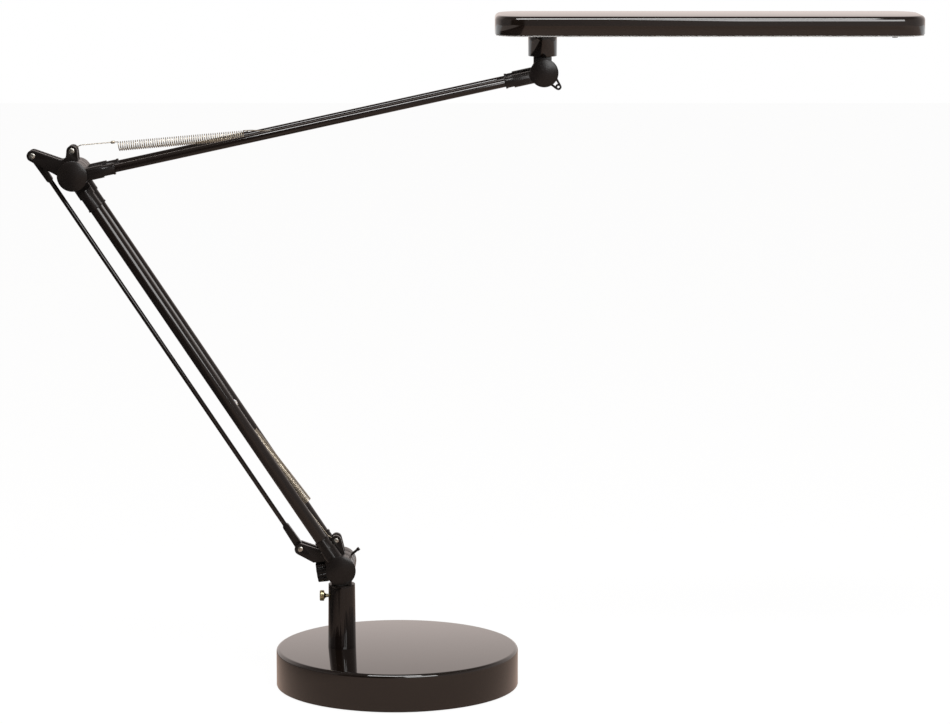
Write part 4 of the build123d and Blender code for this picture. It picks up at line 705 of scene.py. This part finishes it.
def model_thumbscrew():
    """Brass screw with a flared neck and a knurled head, modelled upright and then turned."""
    clear_selection()
    knurls = sizes().knurls
    bpy.ops.mesh.primitive_cylinder_add(vertices=2 * knurls, radius=THUMBSCREW_SHANK,
                                        depth=THUMBSCREW_CONE[0] - THUMBSCREW_START,
                                        location=(0, 0, (THUMBSCREW_CONE[0] + THUMBSCREW_START) / 2))
    screw = just_added("brass_thumbscrew")
    apply_place(screw)
    with Editing(screw) as edit:
        edit.choose("faces", lambda face: face.normal.z > 0.99)
        for rise, growth in THUMBSCREW_STEPS:
            bpy.ops.mesh.extrude_region_move(TRANSFORM_OT_translate={"value": (0, 0, rise * MM)})
            bpy.ops.transform.resize(value=(growth, growth, 1.0), center_override=(0, 0, 0))
        bpy.ops.mesh.inset(thickness=THUMBSCREW_DISH[0])
        bpy.ops.transform.translate(value=(0, 0, -THUMBSCREW_DISH[1]))
        edge_of_head = THUMBSCREW_CONE[1] + 0.2 * MM
        edit.choose("faces", lambda face: abs(face.normal.z) < 0.2 and middle(face).z > edge_of_head
                    and int(round(atan2(middle(face).y, middle(face).x) / pi * knurls - 0.5)) % 2)
        bpy.ops.mesh.inset(thickness=KNURL_EDGE, use_individual=True)
        bpy.ops.transform.resize(value=(KNURL_DEPTH, KNURL_DEPTH, 1.0), center_override=(0, 0, 0))
    screw.rotation_euler = (0, radians(-90), 0)
    screw.location = (POST_X, 0, THUMBSCREW_HEIGHT)
    apply_place(screw)
    finish_piece(screw, "thumbscrew", brass(), ("thumbscrew",), 32)


class LAMP_OT_post(bpy.types.Operator):
    """Dress the post, its bush and its thumbscrew"""

    bl_idname = "lamp.post"
    bl_label = "Post"

    def execute(self, context):
        softened("post_tube", "post", 0.5 * MM, painted(90))
        softened("post_bush", "post_collar", 0.2 * MM, satin_black())
        model_thumbscrew()
        return {"FINISHED"}


# ---- Brackets, sockets and link ----------------------------------------------------------------
MOULDINGS = (
    "base_bracket", "elbow_bracket",
    "lower_foot_socket_front", "lower_foot_socket_rear",
    "lower_elbow_socket_front", "lower_elbow_socket_rear",
    "upper_elbow_socket_front", "upper_elbow_socket_rear",
    "upper_head_socket_front", "upper_head_socket_rear",
    "head_bracket", "link_foot_end", "link_elbow_end", "tension_knob",
)


class LAMP_OT_mouldings(bpy.types.Operator):
    """Dress the moulded brackets, sockets, link ends and the tension knob"""

    bl_idname = "lamp.mouldings"
    bl_label = "Mouldings"

    def execute(self, context):
        for node in MOULDINGS:
            softened(node, node + "_moulding", sizes().moulding_edge, satin_black())
        return {"FINISHED"}


CAP_SIDES = 64
CAP_RINGS = 6
CAP_EDGE = 1.2 * MM
CAP_SEAT = 0.05 * MM
CAP_STEP = 0.5 * MM                   # width and height of the step round the rim
CAP_STEP_RISE = 0.3 * MM
CAP_FILL = 0.96


def model_cap(name, size):
    """A domed joint cap that faces up, with its seat at the origin."""
    clear_selection()
    bpy.ops.mesh.primitive_cylinder_add(vertices=CAP_SIDES, radius=size, depth=CAP_EDGE,
                                        location=(0, 0, CAP_EDGE / 2))
    cap = just_added(name)
    apply_place(cap)
    with Editing(cap) as edit:
        edit.choose("faces", lambda face: face.normal.z > 0.99)
        bpy.ops.mesh.inset(thickness=CAP_STEP)
        bpy.ops.transform.translate(value=(0, 0, CAP_STEP_RISE))
        radius = size - CAP_STEP
        rise = CAP_STEP_RISE
        dome = sizes().cap_dome
        for ring in range(1, CAP_RINGS):
            share = 1 - ring / CAP_RINGS
            target = CAP_STEP_RISE + (dome - CAP_STEP_RISE) * (1 - share**2)
            step = radius - size * share * CAP_FILL
            bpy.ops.mesh.inset(thickness=step)
            bpy.ops.transform.translate(value=(0, 0, target - rise))
            radius -= step
            rise = target
        bpy.ops.mesh.poke()
        edit.choose("edges", at_level(0.0))
        bpy.ops.mesh.bevel(offset=0.25 * MM, segments=2, affect="EDGES")
    return cap


class LAMP_OT_caps(bpy.types.Operator):
    """Model the domed caps on both ends of the three joints"""

    bl_idname = "lamp.caps"
    bl_label = "Caps"

    def execute(self, context):
        for joint, pivot, ring, radii, body in (
            ("base", BASE_PIVOT, LOWER_RING_OUTER, CAP_RADII, "lower_arm"),
            ("elbow", ELBOW_PIVOT, UPPER_RING_OUTER, CAP_RADII, "upper_arm"),
            ("head", HEAD_PIVOT, UPPER_RING_OUTER, HEAD_CAP_RADII, "upper_arm"),
        ):
            for end, side, radius in (("front", -1, radii[0]), ("rear", 1, radii[1])):
                cap = model_cap("{}_{}_cap".format(joint, end), radius)
                cap.location = (pivot[0], side * (ring + CAP_SEAT), pivot[1])
                cap.rotation_euler = (radians(-90 * side), 0, 0)
                finish_piece(cap, body, satin_black(),
                             ("{}_cap_{}".format(joint, end),), 50)
        return {"FINISHED"}


EAR_SCREW_RADIUS = 2.35 * MM
EAR_SCREW_SINK = 0.35 * MM
EAR_SCREW_THICKNESS = 1.0 * MM
EAR_SCREW_RINGS = ((0.35, 0.22), (0.5, 0.12), (0.45, 0.05), (0.35, -0.5))   # inset and rise, in mm
SCREW_SIDES = 32


def model_ear_screw():
    """A round zinc screw head with a round recess, facing up at the origin."""
    clear_selection()
    bpy.ops.mesh.primitive_cylinder_add(vertices=SCREW_SIDES, radius=EAR_SCREW_RADIUS,
                                        depth=EAR_SCREW_THICKNESS,
                                        location=(0, 0, -EAR_SCREW_THICKNESS / 2))
    head = just_added("screw_pattern")
    apply_place(head)
    with Editing(head) as edit:
        edit.choose("faces", lambda face: face.normal.z > 0.99)
        for thickness, rise in EAR_SCREW_RINGS:
            bpy.ops.mesh.inset(thickness=thickness * MM)
            bpy.ops.transform.translate(value=(0, 0, rise * MM))
    return head


class LAMP_OT_ear_screws(bpy.types.Operator):
    """Model one screw head and place it on both sides of every bracket ear"""

    bl_idname = "lamp.ear_screws"
    bl_label = "Ear screws"

    def execute(self, context):
        pattern = model_ear_screw()
        for name, pivot, spring_ear, body in (
            ("base_bracket", BASE_PIVOT, BASE_SPRING_EAR, "turret"),
            ("elbow_bracket", ELBOW_PIVOT, ELBOW_SPRING_EAR, "elbow_bracket"),
        ):
            heads = []
            for ear in (LINK_EAR, spring_ear):
                x, z = beside(pivot, ear)
                for side in (-1, 1):
                    place = (x, side * (EAR_HALF_WIDTH - EAR_SCREW_SINK), z)
                    head = copy_at(pattern, "screw_head", place)
                    head.rotation_euler = (radians(-90 * side), 0, 0)
                    apply_place(head)
                    heads.append(head)
                clear_selection()
                bpy.ops.mesh.primitive_cylinder_add(
                    vertices=SCREW_SIDES, radius=EAR_PIN_RADIUS, depth=2 * EAR_HALF_WIDTH - 2 * MM,
                    location=(x, 0, z), rotation=(radians(90), 0, 0))
                pin = just_added("screw_pin")
                apply_place(pin)
                heads.append(pin)
            screws = joined(heads, name + "_screw_heads")
            finish_piece(screws, body, zinc(), (name + "_screws",))
        bpy.data.objects.remove(pattern)
        return {"FINISHED"}


class LAMP_OT_tubes(bpy.types.Operator):
    """Dress the painted tubes, the link rod and the small metal pieces of the arms"""

    bl_idname = "lamp.tubes"
    bl_label = "Tubes and pins"

    def execute(self, context):
        edge = sizes().metal_edge
        for node, angle in (("lower_tube_front", LOWER_ANGLE), ("lower_tube_rear", LOWER_ANGLE),
                            ("link_rod", LOWER_ANGLE), ("upper_tube_front", UPPER_ANGLE),
                            ("upper_tube_rear", UPPER_ANGLE)):
            softened(node, node + "_painted", edge, painted(angle))
        softened("stop_pin", "stop_peg", edge, painted(36))
        softened("upper_tube_sleeve", "tube_sleeve", edge, satin_black())
        softened("lower_spring_pin", "lower_cross_pin", edge, zinc())
        softened("upper_spring_pin", "upper_cross_pin", edge, zinc())
        softened("lower_spring_roller", "white_roller", edge, nylon())
        return {"FINISHED"}


# ---- Springs -----------------------------------------------------------------------------------
TURN_POINTS = 14
HOOK_POINTS = 10
HOOK_TAIL = 3 * MM
HOOK_RISE = 8 * MM
COIL_LEAD = 2.5 * MM
HOOK_GAP = 0.2 * MM
FERRULE_LENGTH = 3.2 * MM
FERRULE_RADIUS = 1.2 * MM


class SpringLine:
    """The middle line of a spring's wire, built up from its first pin to its second."""

    def __init__(self, first_pin, second_pin):
        run = second_pin[0] - first_pin[0]
        rise = second_pin[1] - first_pin[1]
        self.length = hypot(run, rise)
        self.ahead = Vector((run, 0, rise)) / self.length
        self.left = Vector((-rise, 0, run)) / self.length
        self.front = Vector((0, -1, 0))
        self.start = Vector((first_pin[0], 0, first_pin[1]))
        self.points = []

    def point(self, x, left, front=0.0):
        """A place along the spring, to its left and to the front."""
        return self.start + self.ahead * x + self.left * left + self.front * front

    def add(self, x, left, front=0.0):
        """Adds a point to the wire."""
        self.points.append(self.point(x, left, front))

    def ease(self, x0, left0, x1, left1, steps=HOOK_POINTS):
        """A smooth bend between two straight stretches."""
        for step in range(steps + 1):
            share = step / steps
            smooth = share * share * (3 - 2 * share)
            self.add(x0 + (x1 - x0) * share, left0 + (left1 - left0) * smooth)

    def near_hook(self, radius):
        """The hook round the first pin and the climb to the coil's side."""
        self.add(HOOK_TAIL, -radius)
        for step in range(HOOK_POINTS + 1):
            turn = pi * step / HOOK_POINTS
            self.add(-radius * sin(turn), -radius * cos(turn))
        self.ease(radius, radius, HOOK_RISE, COIL_RADIUS)

    def coil(self, start, end, turns):
        """The turns, with a short straight lead at each end."""
        self.add(start - COIL_LEAD, COIL_RADIUS)
        count = turns * TURN_POINTS
        for step in range(count + 1):
            turn = 2 * pi * step / TURN_POINTS
            self.add(start + (end - start) * step / count, COIL_RADIUS * cos(turn),
                     COIL_RADIUS * sin(turn))
        self.add(end + COIL_LEAD, COIL_RADIUS)

    def far_hook(self, end, radius):
        """The end wire and the hook round the second pin."""
        self.ease(end + COIL_LEAD + 0.5 * MM, COIL_RADIUS, self.length - radius, radius)
        for step in range(1, HOOK_POINTS + 1):
            turn = pi * step / HOOK_POINTS
            self.add(self.length + radius * sin(turn), radius * cos(turn))
        self.add(self.length - HOOK_TAIL, -radius)

    def wire(self, name, radius):
        """The wire along the points, as a mesh tube."""
        curve = bpy.data.curves.new(name, "CURVE")
        curve.dimensions = "3D"
        curve.bevel_depth = radius
        curve.bevel_resolution = 1
        curve.use_fill_caps = True
        line = curve.splines.new("POLY")
        line.points.add(len(self.points) - 1)
        for place, point in zip(self.points, line.points):
            point.co = (*place, 1.0)
        piece = bpy.data.objects.new(name, curve)
        bpy.context.scene.collection.objects.link(piece)
        pick(piece)
        bpy.ops.object.convert(target="MESH")
        return just_added(name)


def along_spring(line, arm_distance):
    """A distance along an arm, counted along its spring from the first pin."""
    return line.length - (SPRING_PIN_DISTANCE - arm_distance)


class LAMP_OT_lower_spring(bpy.types.Operator):
    """Wind the lower balance spring with its end wires and hooks"""

    bl_idname = "lamp.lower_spring"
    bl_label = "Lower spring"

    def execute(self, context):
        line = SpringLine(beside(BASE_PIVOT, BASE_SPRING_EAR),
                          out_along(BASE_PIVOT, LOWER_ANGLE, SPRING_PIN_DISTANCE))
        wire = sizes().wire_radius
        start, end = (along_spring(line, place) for place in LOWER_COIL)
        line.near_hook(EAR_PIN_RADIUS + wire + HOOK_GAP)
        line.coil(start, end, sizes().lower_turns)
        line.far_hook(end, ROLLER_RADIUS + wire + HOOK_GAP)
        spring = line.wire("lower_spring_wound", wire)
        finish_piece(spring, "lower_spring", spring_steel(), ("lower_spring",), 60)
        return {"FINISHED"}


class LAMP_OT_upper_spring(bpy.types.Operator):
    """Wind the upper balance spring and lay its draw wire and ferrule"""

    bl_idname = "lamp.upper_spring"
    bl_label = "Upper spring"

    def execute(self, context):
        first = beside(ELBOW_PIVOT, ELBOW_SPRING_EAR)
        second = out_along(UPPER_LINE, UPPER_ANGLE, SPRING_PIN_DISTANCE)
        wire = sizes().wire_radius
        line = SpringLine(first, second)
        start, end = (along_spring(line, place) for place in UPPER_COIL)
        ferrule_end = start - COIL_LEAD - 0.3 * MM
        line.add(ferrule_end - 1 * MM, COIL_RADIUS)
        line.coil(start, end, sizes().upper_turns)
        line.far_hook(end, UPPER_PIN_RADIUS + wire + HOOK_GAP)
        spring = line.wire("upper_spring_wound", wire)
        finish_piece(spring, None, spring_steel(), ("upper_spring",), 60)
        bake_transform(spring)
        draw = SpringLine(first, second)
        draw.near_hook(EAR_PIN_RADIUS + wire + HOOK_GAP)
        draw.add(ferrule_end - FERRULE_LENGTH + 1 * MM, COIL_RADIUS)
        draw_wire = draw.wire("draw_wire_strand", wire)
        clear_selection()
        bpy.ops.mesh.primitive_cylinder_add(
            vertices=20, radius=FERRULE_RADIUS, depth=FERRULE_LENGTH,
            location=line.point(ferrule_end - FERRULE_LENGTH / 2, COIL_RADIUS),
            rotation=(0, atan2(line.ahead.x, line.ahead.z), 0))
        ferrule = just_added("ferrule")
        apply_place(ferrule)
        with_bevel(ferrule, 0.3 * MM, 2)
        strand = joined([draw_wire, ferrule], "upper_draw_wire")
        finish_piece(strand, "upper_spring_wire", spring_steel(),
                     ("upper_spring_wire",), 60)
        return {"FINISHED"}


# ---- Head --------------------------------------------------------------------------------------
CORNER_SEGMENTS = 20
SHELL_WALL = 2 * MM
SHELL_HOLLOW = 6 * MM
SHELL_RIM_EDGE = 0.35 * MM
COLLAR_SIDES = 96
COLLAR_EDGE = 0.4 * MM


def rounded_slab(name, bottom, top):
    """A long slab with the head's outline and rounded corners."""
    clear_selection()
    left = HEAD_PIVOT[0] + HEAD_LEFT
    bpy.ops.mesh.primitive_cube_add(
        size=1.0, location=(left + HEAD_LENGTH / 2, 0, HEAD_PIVOT[1] + (bottom + top) / 2),
        scale=(HEAD_LENGTH, HEAD_DEPTH, top - bottom))
    slab = just_added(name)
    apply_place(slab)

    def stands_up(edge):
        return abs((edge.verts[0].co - edge.verts[1].co).z) > (top - bottom) / 2

    with Editing(slab) as edit:
        edit.choose("edges", stands_up)
        bpy.ops.mesh.bevel(offset=HEAD_CORNER, segments=CORNER_SEGMENTS, affect="EDGES")
    return slab


def model_collar():
    """Round collar below the head, with the flange that holds it inside."""
    clear_selection()
    height = COLLAR_FLANGE[0] - COLLAR_BOTTOM
    bpy.ops.mesh.primitive_cylinder_add(
        vertices=COLLAR_SIDES, radius=COLLAR_RADIUS, depth=height,
        location=(HEAD_PIVOT[0] + NECK_SHIFT, 0, HEAD_PIVOT[1] + COLLAR_BOTTOM + height / 2))
    collar = just_added("collar")
    apply_place(collar)
    with Editing(collar) as edit:
        edit.choose("edges", at_level(HEAD_PIVOT[1] + COLLAR_BOTTOM))
        bpy.ops.mesh.bevel(offset=COLLAR_EDGE, segments=3, affect="EDGES")
        edit.choose("faces", lambda face: face.normal.z > 0.99)
        bpy.ops.mesh.inset(thickness=COLLAR_FLANGE_RADIUS - COLLAR_RADIUS, use_outset=True)
        edit.choose("faces", lambda face: face.normal.z > 0.99)
        bpy.ops.mesh.extrude_region_move(
            TRANSFORM_OT_translate={"value": (0, 0, COLLAR_FLANGE[1] - COLLAR_FLANGE[0])})
    finish_piece(collar, "head", gloss_black(), ("swivel_collar",), 45)


class LAMP_OT_head(bpy.types.Operator):
    """Model the long head shell, its opal sheet, the collar and the button"""

    bl_idname = "lamp.head"
    bl_label = "Head"

    def execute(self, context):
        shell = rounded_slab("head_cover", HEAD_BOTTOM, HEAD_TOP)
        top = HEAD_PIVOT[1] + HEAD_TOP
        bottom = HEAD_PIVOT[1] + HEAD_BOTTOM
        with Editing(shell) as edit:
            edit.choose("edges", lambda edge: at_level(top)(edge) and len(edge.link_faces) == 2
                        and any(abs(face.normal.z) < 0.1 for face in edge.link_faces))
            bpy.ops.mesh.bevel(offset=sizes().shell_edge, segments=6, affect="EDGES")
            edit.choose("faces", lambda face: face.normal.z < -0.99)
            bpy.ops.mesh.inset(thickness=SHELL_WALL)
            bpy.ops.mesh.extrude_region_move(TRANSFORM_OT_translate={"value": (0, 0, SHELL_HOLLOW)})
            edit.choose("edges", lambda edge: at_level(bottom)(edge)
                        and any(abs(face.normal.z) < 0.1 for face in edge.link_faces))
            bpy.ops.mesh.bevel(offset=SHELL_RIM_EDGE, segments=2, affect="EDGES")
        finish_piece(shell, "head", gloss_black(), ("head_shell",), 45)
        softened("diffuser", "opal_sheet", 0.3 * MM, opal())
        model_collar()
        softened("power_button", "button", 0.2 * MM, satin_black())
        return {"FINISHED"}


# ---- Inner pieces ------------------------------------------------------------------------------
def inner_finishes():
    """The CAD nodes that stay as they are, with their finishes."""
    return {
        iron(): ("base_weight",),
        zinc(): ("bottom_plate", "bottom_screws", "post_nut", "turret_spigot", "base_axle",
                 "elbow_axle", "head_axle", "knob_stud", "spigot_clip", "head_screws"),
        nylon(): ("base_washers", "elbow_washers"),
        light_board(): ("led_board",),
        circuit_board(): ("driver_board",),
    }


class LAMP_OT_inner(bpy.types.Operator):
    """Give the pieces inside the lamp their finishes"""

    bl_idname = "lamp.inner"
    bl_label = "Inner pieces"

    def execute(self, context):
        for material, nodes in inner_finishes().items():
            for node in nodes:
                for slot in frame["nodes"][node].material_slots:
                    slot.material = material
        return {"FINISHED"}


# ---- Add-on ------------------------------------------------------------------------------------
OPERATORS = (
    LAMP_OT_stage, LAMP_OT_base, LAMP_OT_post, LAMP_OT_mouldings, LAMP_OT_caps,
    LAMP_OT_ear_screws, LAMP_OT_tubes, LAMP_OT_lower_spring, LAMP_OT_upper_spring, LAMP_OT_head,
    LAMP_OT_inner,
)


class LAMP_PT_panel(bpy.types.Panel):
    """The lamp's settings and its pieces"""

    bl_idname = "LAMP_PT_panel"
    bl_label = "Desk Lamp"
    bl_space_type = "VIEW_3D"
    bl_region_type = "UI"
    bl_category = "Desk Lamp"

    def draw(self, context):
        for group in (context.scene.lamp_sizes, context.scene.lamp_colours):
            box = self.layout.box()
            for name in group.__annotations__:
                box.prop(group, name)
        column = self.layout.column()
        for operator in OPERATORS:
            column.operator(operator.bl_idname)


CLASSES = (LampSizes, LampColours, *OPERATORS, LAMP_PT_panel)


def register():
    """Registers the classes and hangs the settings on the scene."""
    for cls in CLASSES:
        bpy.utils.register_class(cls)
    bpy.types.Scene.lamp_sizes = PointerProperty(type=LampSizes)
    bpy.types.Scene.lamp_colours = PointerProperty(type=LampColours)


def unregister():
    """Takes the settings and classes away again."""
    del bpy.types.Scene.lamp_colours
    del bpy.types.Scene.lamp_sizes
    for cls in reversed(CLASSES):
        bpy.utils.unregister_class(cls)


def main():
    register()
    for operator in OPERATORS:
        group, name = operator.bl_idname.split(".")
        getattr(getattr(bpy.ops, group), name)()


if __name__ == "__main__":
    main()
